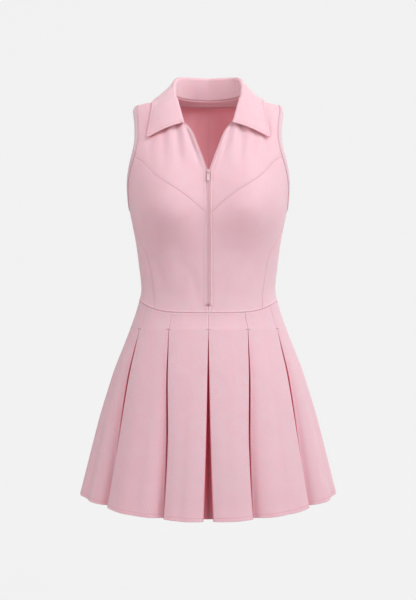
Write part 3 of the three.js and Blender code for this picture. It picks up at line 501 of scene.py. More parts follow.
sidePlaces = fillPatch(
    (evenSteps, waistPlaces(sideFrontSeam[0, 0], sideBackSeam[0, 0])),
    (evenSteps, turned(turns[1], turns[2])),
    (evenSteps, sideFrontSeam), (evenSteps, sideBackSeam), denserAtEnds(48), denserAtEnds(70),
)
backOuter = chained((9, sideBackSeam), (17, turned(turns[2], 360)), (8, shoulderSeam[::-1]))
backMiddle = (backOuter[0], np.stack([np.full(len(backOuter[0]), 180.0), backOuter[1][:, 1]], -1))
backNeck = np.stack([np.linspace(90, 180, 401), np.full(401, float(neckLevel))], -1)
backPlaces = fillPatch(
    (evenSteps, waistPlaces(sideBackSeam[0, 0], 180)), (evenSteps, backNeck), backOuter, backMiddle,
    denserAtEnds(60), np.union1d(denserAtEnds(128), [9 / 34, 26 / 34]),
)

panels = {
    # places, styles of the bottom, top, first and last edges, and the flat cut: width, length, share
    "front_yoke": (yokePlaces, ("yokeUpper", "seam", "zip", "binding"), (0.155, 0.255, 0.6)),
    "front_body": (bodyPlaces, ("waist", "yokeLower", "zip", "seam"), (0.165, 0.31, 0.76)),
    "side_panel": (sidePlaces, ("waist", "binding", "seam", "seam"), (0.115, 0.215, 0.8)),
    "back_body": (backPlaces, ("waist", "plain", "seam", "centreBack"), (0.18, 0.43, 0.887)),
}
cloth = {}
for side, word in sides:
    for node, (places, styles, cut) in panels.items():
        cloth[f"{node}_{word}"] = clothPiece(f"{node}_{word}", places, styles, side)
print("bodice panels:", len(cloth))

neckTape = {
    # angles it runs between, levels below the neck, depth inside the bodice at its lower and upper edge
    "from": 112.5, "to": 247.5, "clear": 0.03, "levels": 11 / 14, "low": -2.7, "high": -1.45, "thick": 1.0,
    "flat": (0.3, 0.0125, 0.93),
}
tapeAngles = np.linspace(neckTape["from"], neckTape["to"], 90)[None, :]
tapeLevels = neckLevel - neckTape["clear"] - np.linspace(neckTape["levels"], 0, 9)[:, None]
tapeDepths = np.linspace(neckTape["low"], neckTape["high"], 9)[:, None]
tapePlaces = np.stack(np.broadcast_arrays(tapeAngles, tapeLevels), -1)
cloth["neck_tape"] = clothPiece(
    "neck_tape", tapePlaces, ("plain",) * 4,
    thick=neckTape["thick"], depth=tapeDepths, folds=False,
)


def bindingProfile():
    # the strip's section, as (share of the way from the armhole's edge to the cut, height off the bodice)
    reaches, angles = np.linspace(1.12, 0.1, 14), np.radians(np.linspace(60, -60, 7))
    half = [(reach, 1.0 + 0.5 * math.sin(math.pi * min(reach, 1)) ** 0.7) for reach in reaches]
    turn = [(0.1 - 0.1 * math.cos(angle), math.sin(angle) / 0.87) for angle in angles]
    return half + turn + [(reach, -height) for reach, height in half[::-1]]


def bindingMesh(name, side):
    # a strip folded over the armhole's edge: out along the front, round the edge and back inside
    turn = np.linspace(0, 360, 541)[:-1]
    edge, cut = armholeEdge(turn), armholeCut(turn)
    along = lengthsAlong(bodicePoint(edge), 0)
    mid = []
    for reach, height in bindingProfile():
        place = edge + (cut - edge) * reach
        lines = sum(hump(reach, at, armhole["pressedWide"]) for at in armhole["pressedAt"])
        press = armhole["pressed"] * lines
        wave = np.sin(along / 1.6 + 2 * np.sin(along / 9))
        pucker = armhole["pucker"] * wave * hump(reach, 0.55, 0.5)
        lift = np.sign(height) * (abs(height) - press + pucker)
        mid.append(bodicePoint(place) + bodiceNormal(place) * lift[:, None])
    mid = np.array(mid)
    if side < 0:
        mid = mid[:, ::-1] * (-1, 1, 1)
    closed = np.concatenate([mid, mid[:, :1]], axis=1)
    normal = np.cross(np.gradient(closed, axis=1), np.gradient(closed, axis=0))
    normal[:, 0] = normal[:, -1] = normal[:, 0] + normal[:, -1]
    normal = unit(normal)[:, :-1]
    rows, columns = mid.shape[:2]
    count = rows * columns
    half = armhole["bindingCloth"] / 2
    outer, inner = mid + normal * half, mid - normal * half
    across = lengthsAlong(mid, 0)
    aroundHole = np.linspace(0, along[-1], columns)[None, :]
    uv = np.stack(np.broadcast_arrays(aroundHole, across), -1).reshape(-1, 2)
    faces = [gridFaces(rows, columns, ring=True), gridFaces(rows, columns, count, True, ring=True)]
    for row, way in ((0, 1), (rows - 1, -1)):
        rim = np.arange(columns) + row * columns
        ahead = np.roll(rim, -1)
        quads = np.stack([rim + count, ahead + count, ahead, rim], -1)
        faces.append(quads if way > 0 else quads[:, ::-1])
    points = np.concatenate([outer.reshape(-1, 3), inner.reshape(-1, 3)])
    fromEnd = np.minimum(across, across[-1:] - across)
    # painted shade along the binding's edges
    shade = sum(deep * hump(fromEnd, at, wide) for deep, at, wide in armhole["lines"]).ravel()
    uv, shade = np.concatenate([uv, uv]), np.tile(shade, 2)
    mesh = meshFromArrays(name, points, np.concatenate(faces), uv, None, shade)
    stitchRow = int(np.argmin(np.abs(across[:, 0] - armhole["stitchAt"])))
    return mesh, np.concatenate([outer[stitchRow], normal[stitchRow]], -1)


for side, word in sides:
    name = f"armhole_binding_{word}"
    mesh, stitched = bindingMesh(f"{name}_cloth", side)
    thing = addObject(f"{name}_cloth", mesh)
    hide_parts(name)
    cloth[name] = {"object": thing, "stitched": stitched}
print("bindings and tape made")


collarForm = {
    # from the middle of the back (q 0) over the shoulder (2) to the front end (4):
    # q, roll line x y z, outer edge x y z, roll radius, how far the leaf stands proud
    "rows": [
        (0, 0, 55, 42, 0, 77, -12, 4.2, 3),
        (1, 43, 43, 42, 64, 60, -12, 4.2, 2.5),
        (1.5, 59, 24, 37, 86, 37, -14, 4, 1.5),
        (2, 64, 0, 21, 109, -2, -12, 3.5, 0),
        (2.5, 63, -19, 2, 110.5, -34, -31, 3.6, 2),
        (3, 60, -38, -20, 113.5, -45, -49, 3.6, 5),
        (4, 46, -72, -66, 120.5, -67, -97, 3, 7),
    ],
    # way down the leaf, and how far off the bodice it must be
    "clear": [(0, 6.4), (0.25, 5.8), (0.5, 4.4), (0.75, 3.6), (1, 3.5)],
    "full": 0.4, "thick": 2.0, "seat": 0.9, "pointRound": 4.5,
    # how much lower the front end hangs, which way, and over this much of q
    "endDrop": 7, "endWay": (0, -0.36, -1), "endWide": 0.42,
    # the turned edge: its thickness, how far in it is thickest, how wide, and the share left at the rim
    "edgeThick": 2.8, "edgeAt": 2.4, "edgeWide": 2.2, "rimShare": 0.3,
    # the leaf is moved off the bodice only where it is near, and by no more than this
    "near": 12, "pushed": 7,
    "standRows": 18, "rollRows": 15, "leafRows": 42,
    # the stitch row: where it runs, how deep and wide it presses, and the painted shade along it
    "stitchAt": 5.2, "pressed": 0.25, "pressedWide": 0.8, "stitchShade": 0.3, "stitchShadeWide": 0.6,
    "pucker": 0.05,
    "flat": (0.48, 0.105, 0.8),
}


def collarSeat(q):
    # where the collar's seam runs on the neck
    backPart = np.stack([180 - 45 * np.minimum(q, 2), np.full(len(q), float(neckLevel))], -1)
    frontPart = readAt(np.clip((q - 2) / 2, 0, 1), np.linspace(0, 1, len(frontNeck)), frontNeck[::-1])
    return np.where((q <= 2)[:, None], backPart, frontPart)


def collarPoints():
    # the right half's points from the seam up the stand, over the roll and down the leaf, and the leaf's
    # first row
    table = np.array(collarForm["rows"], float)
    q = np.concatenate([np.linspace(0, 2, 61), np.linspace(2, 4, 81)[1:]])
    neckPlace = collarSeat(q)
    fineRows = np.linspace(0, len(table) - 1, 6001)
    row = readRows(table, np.interp(q, readRows(table, fineRows)[:, 0], fineRows))
    row[0] = table[0]
    roll, edge, radius, proud = row[:, 1:4], row[:, 4:7], row[:, 7:8], row[:, 8:9]
    neck, normal = bodicePoint(neckPlace), bodiceNormal(neckPlace)
    rise = unit(roll - neck)
    faceTilt = np.sqrt(np.maximum(1 - (rise * normal).sum(-1, keepdims=True) ** 2, 0))
    start = neck + normal * (collarForm["seat"] + collarForm["thick"] / 2 * faceTilt)
    up = unit(roll - start)
    out = unit(normal - up * (normal * up).sum(-1, keepdims=True))
    standTop = roll - up * radius
    centre = standTop + out * radius
    leafTop = centre + out * radius
    leaf = edge - leafTop
    lift = up + out
    lift = unit(lift - leaf * ((lift * leaf).sum(-1, keepdims=True) / (leaf * leaf).sum(-1, keepdims=True)))
    profile = [start + (standTop - start) * t for t in denserAtEnds(collarForm["standRows"], 0.6)[:-1]]
    for angle in np.radians(np.linspace(0, 180, collarForm["rollRows"])[:-1]):
        profile.append(centre - out * radius * math.cos(angle) + up * radius * math.sin(angle))
    leafFrom = len(profile)
    way = denserAtEnds(collarForm["leafRows"], 0.7)
    for t in way:
        profile.append(leafTop + leaf * t + lift * (proud * 4 * t * (1 - t) * (1 - collarForm["full"] * t)))
    grid = np.array(profile)
    folded = smoothStep(np.arange(len(grid)), collarForm["standRows"], leafFrom)
    folded[leafFrom:] *= 1 - way
    drop = collarForm["endDrop"] * hump(q, 4, collarForm["endWide"]) * folded[:, None]
    grid += drop[..., None] * np.array(collarForm["endWay"])
    fall = grid[leafFrom:]
    place = frontPlace(np.maximum(fall[..., 0], 0), fall[..., 2])
    place[..., 0] = np.where(fall[..., 1] > 0, 180 - place[..., 0], place[..., 0])
    place = nearestPlace(fall, place)
    away = bodiceNormal(place)
    height = ((fall - bodicePoint(place)) * away).sum(-1)
    clear = np.interp(way, *np.transpose(collarForm["clear"]))[:, None]
    near = np.linalg.norm(fall - bodicePoint(place), axis=-1) < collarForm["near"]
    pushed = np.clip(clear - height, 0, collarForm["pushed"]) * near
    grid[leafFrom:] = roundedPoint(eased(fall + away * pushed[..., None]))
    left = grid[:, 1:][:, ::-1] * (-1, 1, 1)
    return np.concatenate([left, grid], axis=1), leafFrom


def roundedPoint(leaf, turns=60):
    # rounds the corner between the leaf's front edge and its lower edge
    rim = np.concatenate([leaf[:-1, -1], leaf[-1, ::-1]])
    corner = leaf[-1, -1].copy()
    size = collarForm["pointRound"]
    near = 1 - smoothStep(np.linalg.norm(rim - corner, axis=-1), size * 0.5, size * 1.6)[:, None]
    for _ in range(turns):
        mean = (np.roll(rim, 1, 0) + np.roll(rim, -1, 0)) / 2
        mean[[0, -1]] = rim[[0, -1]]
        rim = rim + (mean - rim) * near * 0.8
    leaf = leaf.copy()
    leaf[:-1, -1], leaf[-1, ::-1] = rim[:len(leaf) - 1], rim[len(leaf) - 1:]
    return eased(leaf, 4)


def eased(grid, turns=6):
    # smooths the leaf along both ways, with its border kept
    for _ in range(turns):
        grid = grid.copy()
        grid[1:-1, 1:-1] = grid[1:-1, 1:-1] / 2 + (
            grid[:-2, 1:-1] + grid[2:, 1:-1] + grid[1:-1, :-2] + grid[1:-1, 2:]) / 8
    return grid


collarGrid, leafFrom = collarPoints()
collarNormals = gridNormals(collarGrid)
collarAround, collarUp = lengthsAlong(collarGrid, 1), lengthsAlong(collarGrid, 0)
collarDistances = {
    "top": collarUp[-1:] - collarUp, "first": collarAround, "last": collarAround[:, -1:] - collarAround,
}
fromEdge = np.minimum.reduce(list(collarDistances.values()))
turnedEdge = hump(fromEdge, collarForm["edgeAt"], collarForm["edgeWide"])
plump = collarForm["thick"] + (collarForm["edgeThick"] - collarForm["thick"]) * turnedEdge
rim = collarForm["rimShare"]
half = plump / 2 * (rim + (1 - rim) * np.sqrt(smoothStep(fromEdge, -0.5, 1.8)))
lift = -collarForm["pressed"] * hump(fromEdge, collarForm["stitchAt"], collarForm["pressedWide"])
wave = np.sin(collarAround / 1.9 + 2 * np.sin(collarAround / 11))
lift += collarForm["pucker"] * wave * np.exp(-fromEdge / 6)
outer = collarGrid + collarNormals * (half + lift)[..., None]
inner = collarGrid - collarNormals * half[..., None]
foldAround = np.broadcast_to(collarAround[leafFrom][None], collarAround.shape)
uv = np.stack([foldAround, -collarUp], -1)
# painted shade along the collar's stitch row
shade = collarForm["stitchShade"] * hump(fromEdge, collarForm["stitchAt"], collarForm["stitchShadeWide"])
collarObject = addObject("collar_cloth", wallMesh("collar_cloth", outer, inner, uv, shade))
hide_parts("collar_stand", "collar_leaf")
cloth["collar"] = {
    "object": collarObject, "outer": outer, "normal": collarNormals, "distances": collarDistances,
}
print("collar made")


skirtForm = {
    "tackHeight": -467,
    "hemHeight": -804,
    "hemDip": 12,  # lower still at the middle of the front
    "sideRise": 15,  # higher at the sides
    "waistDrop": 54,  # from the waist down to the tacks
    "waistGap": 0.05,
    # millimetres below the tacks, half width, front depth, back depth, squareness
    "outline": [
        (-54, 137, 97, 86, 2.3),
        (-27, 145, 101.5, 92, 2.25),
        (0, 154.5, 108, 101, 2.2),
        (34, 167, 118.5, 111.5, 2.15),
        (84, 185.5, 134, 127, 2.1),
        (135, 201, 148, 141, 2.05),
        (185, 215, 161, 154, 2),
        (236, 227, 173, 166, 2),
        (286, 238.5, 184, 177, 2),
        (337, 250, 195, 188, 2),
    ],
    # pleats of a quarter of the skirt, from its middle: how far round at the tacks and at the hem
    "tacked": (0, 27.2, 58.5, 90),
    "hem": (0, 19.6, 50.8, 90),
    # how far a gore's edge nearer the middle rolls in at the hem, and how: parts of it, and the share of
    # the gore's width that each takes
    "sink": (0, 12, 14, 0), "dive": ((0.6, 0.216), (0.4, 0.08)), "easing": 1.3,
    "ripple": 0.5,  # height of the waves between a gore's edges
    # between the edges of each pleat: closed, opened below the tacks, and added at the hem
    "closedGap": 1.25, "openGap": (5, 5, 11, 5), "openingRate": 0.3, "hemGap": (13, -3.8, -7, 12),
    "late": 2.5,  # how late on the way to the hem the last widening comes
    # the cloth folded in behind an edge: its length, how it leans from the skirt and how round it turns
    "foldTop": 20, "foldHem": 32, "leanTop": 4, "leanHem": 20, "radiusTop": 0.68, "radiusHem": 4,
    # painted pleat shade, standing in for the shade deep in the pleats: how deep on a rolled edge, over
    # what share of the gore's width, how soon below the tacks, how much paler at the hem, and how far into
    # the fold
    "rolledShade": 0.14, "rolledWide": 0.1, "rolledFrom": 1 / 6, "paler": 0.65, "deepAt": 1.7,
    # the cloth's thickness, what each face gains where the hem is turned up, and what it loses at the rim
    "cloth": 1.2, "hemTurn": 8, "turnThick": 0.15, "rimThin": 0.35, "rimWide": 0.5,
    # the hem's stitches: their height, how deep and wide they press, and how deep the painted shade along
    # them is
    "hemStitch": 6.4, "pressed": 0.2, "pressedWide": 0.7, "stitchShade": 0.4,
    # a wave of puckers, how much of the waist seam's lift it takes, and the painted shade along the waist
    # seam
    "pucker": 0.07, "waistSeam": 0.6, "waistShade": 0.25, "waistShadeWide": 1.2,
    "flat": (0.235, 0.395), "area": 0.08,
}
# the three gores of a quarter, from the middle to the side: swell, trough, where the trough runs at the
# tacks and at the hem, and its width
goreShapes = {
    "front_right": [(6, 1.5, 0.5, 0.35, 0.2), (9, 4.5, 0.5, 0.52, 0.15), (10, 8, 0.45, 0.55, 0.15)],
    "front_left": [(6.5, 2, 0.5, 0.62, 0.18), (9, 4, 0.46, 0.44, 0.16), (10, 7.5, 0.5, 0.48, 0.14)],
    "back_right": [(7, 3, 0.5, 0.45, 0.2), (9, 5, 0.5, 0.56, 0.16), (9, 6, 0.5, 0.5, 0.16)],
    "back_left": [(7, 2, 0.5, 0.6, 0.2), (8.5, 6, 0.5, 0.44, 0.16), (9, 5.5, 0.52, 0.5, 0.15)],
}
goreNames = ("middle", "next", "side")
outlineTable = np.array(skirtForm["outline"], float)
outlineFine = np.linspace(0, len(outlineTable) - 1, 4001)
outlineDrops = readRows(outlineTable, outlineFine)[:, 0]
outlineAngles = np.linspace(-20, 200, 2201)


def skirtLine(share):
    # the plain outline at one level, as points and lengths round it
    form = skirtForm
    drop = share * (form["tackHeight"] - form["hemHeight"] if share > 0 else form["waistDrop"])
    section = readRows(outlineTable, np.interp(drop, outlineDrops, outlineFine))
    sine, cosine = np.sin(np.radians(outlineAngles)), np.cos(np.radians(outlineAngles))
    depth = np.where(cosine > 0, section[2], section[3])
    x, y = section[1] * signedPower(sine, 2 / section[4]), -depth * signedPower(cosine, 2 / section[4])
    if share < 0:
        waist = np.stack([outlineAngles, np.zeros_like(outlineAngles)], -1)
        end = bodicePoint(waist)[:, 2] - form["waistGap"]
    else:
        end = form["hemHeight"] - form["hemDip"] * np.maximum(cosine, 0) ** 4
        end += form["sideRise"] * sine**6
    z = form["tackHeight"] + (end - form["tackHeight"]) * abs(share)
    points = np.stack([x, y, z], -1)
    return points, lengthsAlong(points[:, :2], 0)


def foldSteps(share, pleat):
    # from a gore's edge to the middle of the underlay: steps along the skirt and into it, and how far each
    # has crossed the underlay
    form, opened = skirtForm, max(share, 0)
    gap = form["closedGap"] + form["openGap"][pleat] * (1 - math.exp(-opened / form["openingRate"]))
    gap += form["hemGap"][pleat] * opened ** form["late"]
    lean = math.radians(form["leanTop"] + (form["leanHem"] - form["leanTop"]) * (1 - (1 - opened) ** 2))
    fold = form["foldTop"] + (form["foldHem"] - form["foldTop"]) * opened
    radius = form["radiusTop"] + (form["radiusHem"] - form["radiusTop"]) * opened
    start = gap / 2 + radius
    around = np.linspace(0, math.pi - lean, 9)
    edge = [(start - radius * math.sin(a), radius * (1 - math.cos(a))) for a in around]
    t, n = edge[-1]
    dt, dn = fold * math.cos(lean), fold * math.sin(lean)
    straight = [(t + dt * s, n + dn * s) for s in np.linspace(0, 1, 8)[1:-1]]
    centreT, centreN = t + dt - radius * math.sin(lean), n + dn + radius * math.cos(lean)
    around = np.linspace(lean, math.pi, 7)
    inner = [(centreT + radius * math.sin(a), centreN - radius * math.cos(a)) for a in around]
    t, n = inner[-1]
    steps = [(t, n, 0) for t, n in edge + straight + inner]
    return np.array(steps + [(t * s, n, 1 - s) for s in (0.75, 0.5, 0.25, 0)])


def goreGrid(shares, isBack, k, shape):
    # a gore's points, a row for each share of the way from the tacks to the hem, and how deep the painted
    # pleat shade on them is
    form = skirtForm
    swell, trough, top, foot, wide = shape
    u = denserAtEnds(44, 0.5)[1:-1]
    fromMiddle = 1 - u if isBack else u
    own, beside = form["sink"][k:k + 2]
    near, far = (own, own / 2), (0, beside / 2)
    first, last = (far, near) if isBack else (near, far)
    dive = sum(part * hump(fromMiddle, 0, width) for part, width in form["dive"])
    rows, pleatShade = [], []
    for share in shares:
        points, run = skirtLine(share)
        opened, folds = max(share, 0), [foldSteps(share, pleat) for pleat in (k, k + 1)]
        hem, tacked = np.array(form["hem"][k:k + 2]), np.array(form["tacked"][k:k + 2])
        angles = hem + (tacked - hem) * (1 - opened) ** 2
        if isBack:
            folds.reverse()
            angles = 180 - angles[::-1]
        start, end = np.interp(angles, outlineAngles, run)
        ease = opened ** form["easing"]
        middle = top + (foot - top) * opened
        inward = own * dive - swell * np.sin(np.pi * u) + trough * hump(u, middle, wide)
        inward -= form["ripple"] * np.sin(2 * np.pi * (u * 1.5 + middle * 3)) * np.sin(np.pi * u)
        ends = []
        for corner, way, (edge, underlay), fold in ((start, 1, first, folds[0]), (end, -1, last, folds[1])):
            sunk = (edge + (underlay - edge) * fold[:, 2]) * ease
            # painted pleat shade: full once into the fold, paler towards the hem
            deep = smoothStep(fold[:, 1], 0, form["deepAt"])
            deep = deep * (1 - form["paler"] * opened ** form["late"])
            ends.append((corner + way * fold[:, 0], fold[:, 1] + sunk, deep))
        # painted shade on the edge that rolls in beside the slit
        rolledShade = form["rolledShade"] * (own > 0) * hump(fromMiddle, 0, form["rolledWide"])
        rolledShade = rolledShade * min(1, opened / form["rolledFrom"])
        begin, finish = start + folds[0][0, 0], end - folds[1][0, 0]
        between = (begin + (finish - begin) * u, inward * ease, rolledShade)
        along, inward, deep = (
            np.concatenate([a[::-1], b, c]) for a, b, c in zip(ends[0], between, ends[1]))
        place = readAt(along, run, points)
        tangent = unit((readAt(along + 0.4, run, points) - readAt(along - 0.4, run, points))[:, :2])
        place[:, 0] -= tangent[:, 1] * inward
        place[:, 1] += tangent[:, 0] * inward
        rows.append(place)
        pleatShade.append(deep)
    return np.array(rows), np.array(pleatShade)


skirtShares = np.concatenate([
    np.linspace(-1, 0, 17)[:-1], np.linspace(0, 0.1, 9)[:-1], np.linspace(0.1, 0.94, 56)[:-1],
    1 - 0.06 * np.linspace(1, 0, 22) ** 1.3])[::-1]


def skirtGore(node, isBack, k, shape, side):
    # pleatShade is painted shade for the insides of the pleats
    grid, pleatShade = goreGrid(skirtShares, isBack, k, shape)
    normals = gridNormals(grid)
    ends = normals[:, [0, -1], :2]
    normals[:, [0, -1]] = unit(np.concatenate([ends, np.zeros_like(ends[..., :1])], -1))
    if k == 0:
        normals[:, -1 if isBack else 0] = (0, 1 if isBack else -1, 0)
    if k == 2:
        normals[:, 0 if isBack else -1] = (1, 0, 0)
    if side < 0:
        grid, normals = grid[:, ::-1] * (-1, 1, 1), normals[:, ::-1] * (-1, 1, 1)
        pleatShade = pleatShade[:, ::-1]
    form = skirtForm
    fromHem = (1 - skirtShares[:, None]) * (form["tackHeight"] - form["hemHeight"])
    fromWaist = lengthsAlong(grid[::-1], 0)[::-1]
    run = lengthsAlong(grid, 1)
    turnUp = smoothStep(form["hemTurn"] + 0.8 - fromHem, 0, 1.6)
    half = form["cloth"] / 2 + form["turnThick"] * turnUp
    half = half - form["rimThin"] * np.exp(-fromHem / form["rimWide"])
    stitched = hump(fromHem, form["hemStitch"], form["pressedWide"])
    lift = -form["pressed"] * stitched * np.ones_like(run)
    lift += form["pucker"] * np.sin(run / 2.1 + 2 * np.sin(run / 13)) * np.exp(-fromHem / 7)
    lift += edgeLift("waist", fromWaist, run, 2.0) * form["waistSeam"]
    outer = grid + normals * (half + lift)[..., None]
    inner = grid - normals * (half - lift)[..., None]
    uv = np.stack([run, grid[..., 2]], -1)
    # painted shade along the hem's stitch row and the waist seam, where the groove's shade falls
    waistLine = form["waistShade"] * hump(fromWaist, 0, form["waistShadeWide"])
    shade = np.maximum(form["stitchShade"] * stitched, waistLine)
    mesh = wallMesh(f"{node}_cloth", outer, inner, uv, shade, pleatShade)
    thing = addObject(f"{node}_cloth", mesh)
    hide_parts(node)
    distances = {"bottom": np.broadcast_to(fromHem, run.shape)}
    return {"object": thing, "outer": outer, "normal": normals, "distances": distances}


for isBack, face in ((False, "front"), (True, "back")):
    for side, word in sides:
        for k, name in enumerate(goreNames):
            node = f"skirt_{face}_{name}_{word}"
            cloth[node] = skirtGore(node, isBack, k, goreShapes[f"{face}_{word}"][k], side)
print("skirt made")


def groupSocket(tree, name, kind, direction="INPUT"):
    return tree.interface.new_socket(name, in_out=direction, socket_type=f"NodeSocket{kind}").identifier


def addNode(tree, kind, inputs=None, **settings):
    node = tree.nodes.new(kind)
    for key, value in settings.items():
        setattr(node, key, value)
    for key, value in (inputs or {}).items():
        if isinstance(value, bpy.types.NodeSocket):
            tree.links.new(value, node.inputs[key])
        else:
            node.inputs[key].default_value = value
    return node


def makeCopiesTree():
    # puts a copy of one object on every point, turned to the point's own directions
    tree = bpy.data.node_groups.new("copiesOnPoints", "GeometryNodeTree")
    groupSocket(tree, "Geometry", "Geometry")
    ids = {name.lower(): groupSocket(tree, name, kind) for name, kind in (
        ("Copy", "Object"), ("Material", "Material"))}
    groupSocket(tree, "Geometry", "Geometry", "OUTPUT")
    source = tree.nodes.new("NodeGroupInput")
    along, facing = (
        addNode(tree, "GeometryNodeInputNamedAttribute", {"Name": name}, data_type="FLOAT_VECTOR")
        for name in ("along", "facing"))
    turn = addNode(tree, "FunctionNodeAxesToRotation", {
        "Primary Axis": facing.outputs["Attribute"], "Secondary Axis": along.outputs["Attribute"],
    }, primary_axis="Z", secondary_axis="X")
    copied = addNode(tree, "GeometryNodeObjectInfo", {
        "Object": source.outputs["Copy"], "As Instance": True})
    placed = addNode(tree, "GeometryNodeInstanceOnPoints", {
        "Points": source.outputs["Geometry"], "Instance": copied.outputs["Geometry"],
        "Rotation": turn.outputs["Rotation"],
    })
    real = addNode(tree, "GeometryNodeRealizeInstances", {"Geometry": placed.outputs["Instances"]})
    coloured = addNode(tree, "GeometryNodeSetMaterial", {
        "Geometry": real.outputs["Geometry"], "Material": source.outputs["Material"],
    })
    smooth = addNode(tree, "GeometryNodeSetShadeSmooth", {"Geometry": coloured.outputs["Geometry"]})
    out = tree.nodes.new("NodeGroupOutput")
    tree.links.new(smooth.outputs["Geometry"], out.inputs["Geometry"])
    return tree, ids


copiesTree, copiesIds = makeCopiesTree()


def capsule(name, length, wide, thick, rings=5, around=8):
    mesh = bpy.data.meshes.new(name)
    shape = bmesh.new()
    bmesh.ops.create_uvsphere(shape, u_segments=around, v_segments=rings + 1, radius=0.5)
    for vertex in shape.verts:
        x, y, z = vertex.co.z, vertex.co.x, vertex.co.y
        reach = signedPower(np.float64(2 * x), 0.7) / 2
        vertex.co = Vector((float(reach) * length, y * wide, z * thick)) * mm
    shape.to_mesh(mesh)
    shape.free()
    return linked(name, mesh)


def copiesOnPoints(name, points, along, facing, template, material):
    mesh = bpy.data.meshes.new(name)
    mesh.from_pydata((points * mm).tolist(), [], [])
    for key, values in (("along", along), ("facing", facing)):
        layer = mesh.attributes.new(key, "FLOAT_VECTOR", "POINT")
        layer.data.foreach_set("vector", values.astype(np.float32).ravel())
    holder = linked(name, mesh)
    modifier = holder.modifiers.new("copies", "NODES")
    modifier.node_group = copiesTree
    modifier[copiesIds["copy"]] = template
    modifier[copiesIds["material"]] = material
    graph = bpy.context.evaluated_depsgraph_get()
    baked = bpy.data.meshes.new_from_object(holder.evaluated_get(graph))
    baked.name = f"{name}_mesh"
    bpy.data.objects.remove(holder)
    return addObject(name, baked)


def spaced(line, pitch):
    # even places along a line of points and facings: points, directions and facings
    run = lengthsAlong(line[:, :3], 0)
    count = max(int(run[-1] / pitch), 1)
    goal = (np.arange(count) + 0.5) * run[-1] / count
    here, behind, ahead = (readAt(goal + step, run, line) for step in (0, -pitch / 3, pitch / 3))
    return here[:, :3], unit(ahead[:, :3] - behind[:, :3]), unit(here[:, 3:])


weave = {
    # the noises' sizes across a metre of cloth, and their detail
    "wobble": (260.0, 1.0), "fibre": (2400.0, 2.0), "patches": (34.0, 3.0),
    # seam: how far the painted seam shade deepens the colour
    "waver": 2.2, "loopStep": 1.6, "seam": 0.75, "worn": 0.3, "mottle": 0.2, "bump": 0.00016,
    "rough": (0.78, 0.14),
}


def makeClothFace():
    # ribs at any pitch and lean, crossed by loops, over soft mottling, with painted shade along seams and
    # in the pleats; worked out on the cloth's own metres
    tree = bpy.data.node_groups.new("clothFace", "ShaderNodeTree")
    for name in ("Color", "Deep", "Pleat Shade"):
        groupSocket(tree, name, "Color")
    for name in ("Pitch", "Lean", "Relief", "Cross", "Mottle", "Rib Tone"):
        groupSocket(tree, name, "Float")
    for name, kind in (("Color", "Color"), ("Roughness", "Float"), ("Normal", "Vector")):
        groupSocket(tree, name, kind, "OUTPUT")
    given = tree.nodes.new("NodeGroupInput").outputs
    uv = addNode(tree, "ShaderNodeUVMap", uv_map="cloth").outputs["UV"]

    def maths(operation, first, second=0.0):
        return addNode(tree, "ShaderNodeMath", {0: first, 1: second}, operation=operation).outputs[0]

    def noise(scale, detail):
        inputs = {"Vector": uv, "Scale": scale, "Detail": detail}
        return addNode(tree, "ShaderNodeTexNoise", inputs).outputs["Fac"]

    def ripple(phase):
        return maths("MULTIPLY", maths("ADD", maths("SINE", phase), 1.0), 0.5)

    def mixed(factor, first, second):
        inputs = {"Factor": factor, 6: first, 7: second}
        return addNode(tree, "ShaderNodeMix", inputs, data_type="RGBA").outputs[2]

    def attribute(name):
        return addNode(tree, "ShaderNodeAttribute", attribute_name=name).outputs["Fac"]

    wobble, fibre, patches = (noise(*weave[name]) for name in ("wobble", "fibre", "patches"))
    turned = addNode(tree, "ShaderNodeVectorRotate", {
        "Vector": uv, "Angle": given["Lean"]}, rotation_type="Z_AXIS")
    parts = addNode(tree, "ShaderNodeSeparateXYZ", {"Vector": turned.outputs["Vector"]})
    across, along = (maths("DIVIDE", parts.outputs[axis], given["Pitch"]) for axis in ("X", "Y"))
    shift = maths("MULTIPLY", maths("SUBTRACT", wobble, 0.5), weave["waver"])
    ribPhase = maths("ADD", maths("MULTIPLY", across, 2 * math.pi), shift)
    rib = ripple(ribPhase)
    loops = ripple(maths("ADD", maths("MULTIPLY", along, weave["loopStep"] * math.pi), ribPhase))
    relief = maths("ADD", rib, maths("MULTIPLY", loops, given["Cross"]))
    # seam is painted shade along seams and stitches, mixed in with the mottling; fold is painted pleat
    # shade
    seam, fold = attribute("seam"), attribute("fold")
    deepness = maths("MULTIPLY", seam, weave["seam"])
    for part in (
        maths("MULTIPLY", maths("SUBTRACT", patches, 0.5), given["Mottle"]),
        maths("MULTIPLY", maths("SUBTRACT", fibre, 0.5), weave["worn"]),
        maths("MULTIPLY", maths("SUBTRACT", 1.0, rib), given["Rib Tone"]),
    ):
        deepness = maths("ADD", deepness, part)
    clamped = addNode(tree, "ShaderNodeClamp", {"Value": deepness}).outputs["Result"]
    # the fold attribute mixes in the painted pleat shade colour
    colour = mixed(fold, mixed(clamped, given["Color"], given["Deep"]), given["Pleat Shade"])
    height = maths("ADD", maths("MULTIPLY", relief, 0.7), maths("MULTIPLY", fibre, 0.5))
    bump = addNode(tree, "ShaderNodeBump", {
        "Strength": given["Relief"], "Distance": weave["bump"], "Height": height})
    smooth, grain = weave["rough"]
    out = addNode(tree, "NodeGroupOutput")
    for name, value in (
        ("Color", colour), ("Roughness", maths("ADD", smooth, maths("MULTIPLY", fibre, grain))),
        ("Normal", bump.outputs["Normal"]),
    ):
        tree.links.new(value, out.inputs[name])
    return tree


clothFace = makeClothFace()


def newMaterial(name):
    material = bpy.data.materials.new(name)
    material.use_nodes = True
    return material, material.node_tree, material.node_tree.nodes["Principled BSDF"]


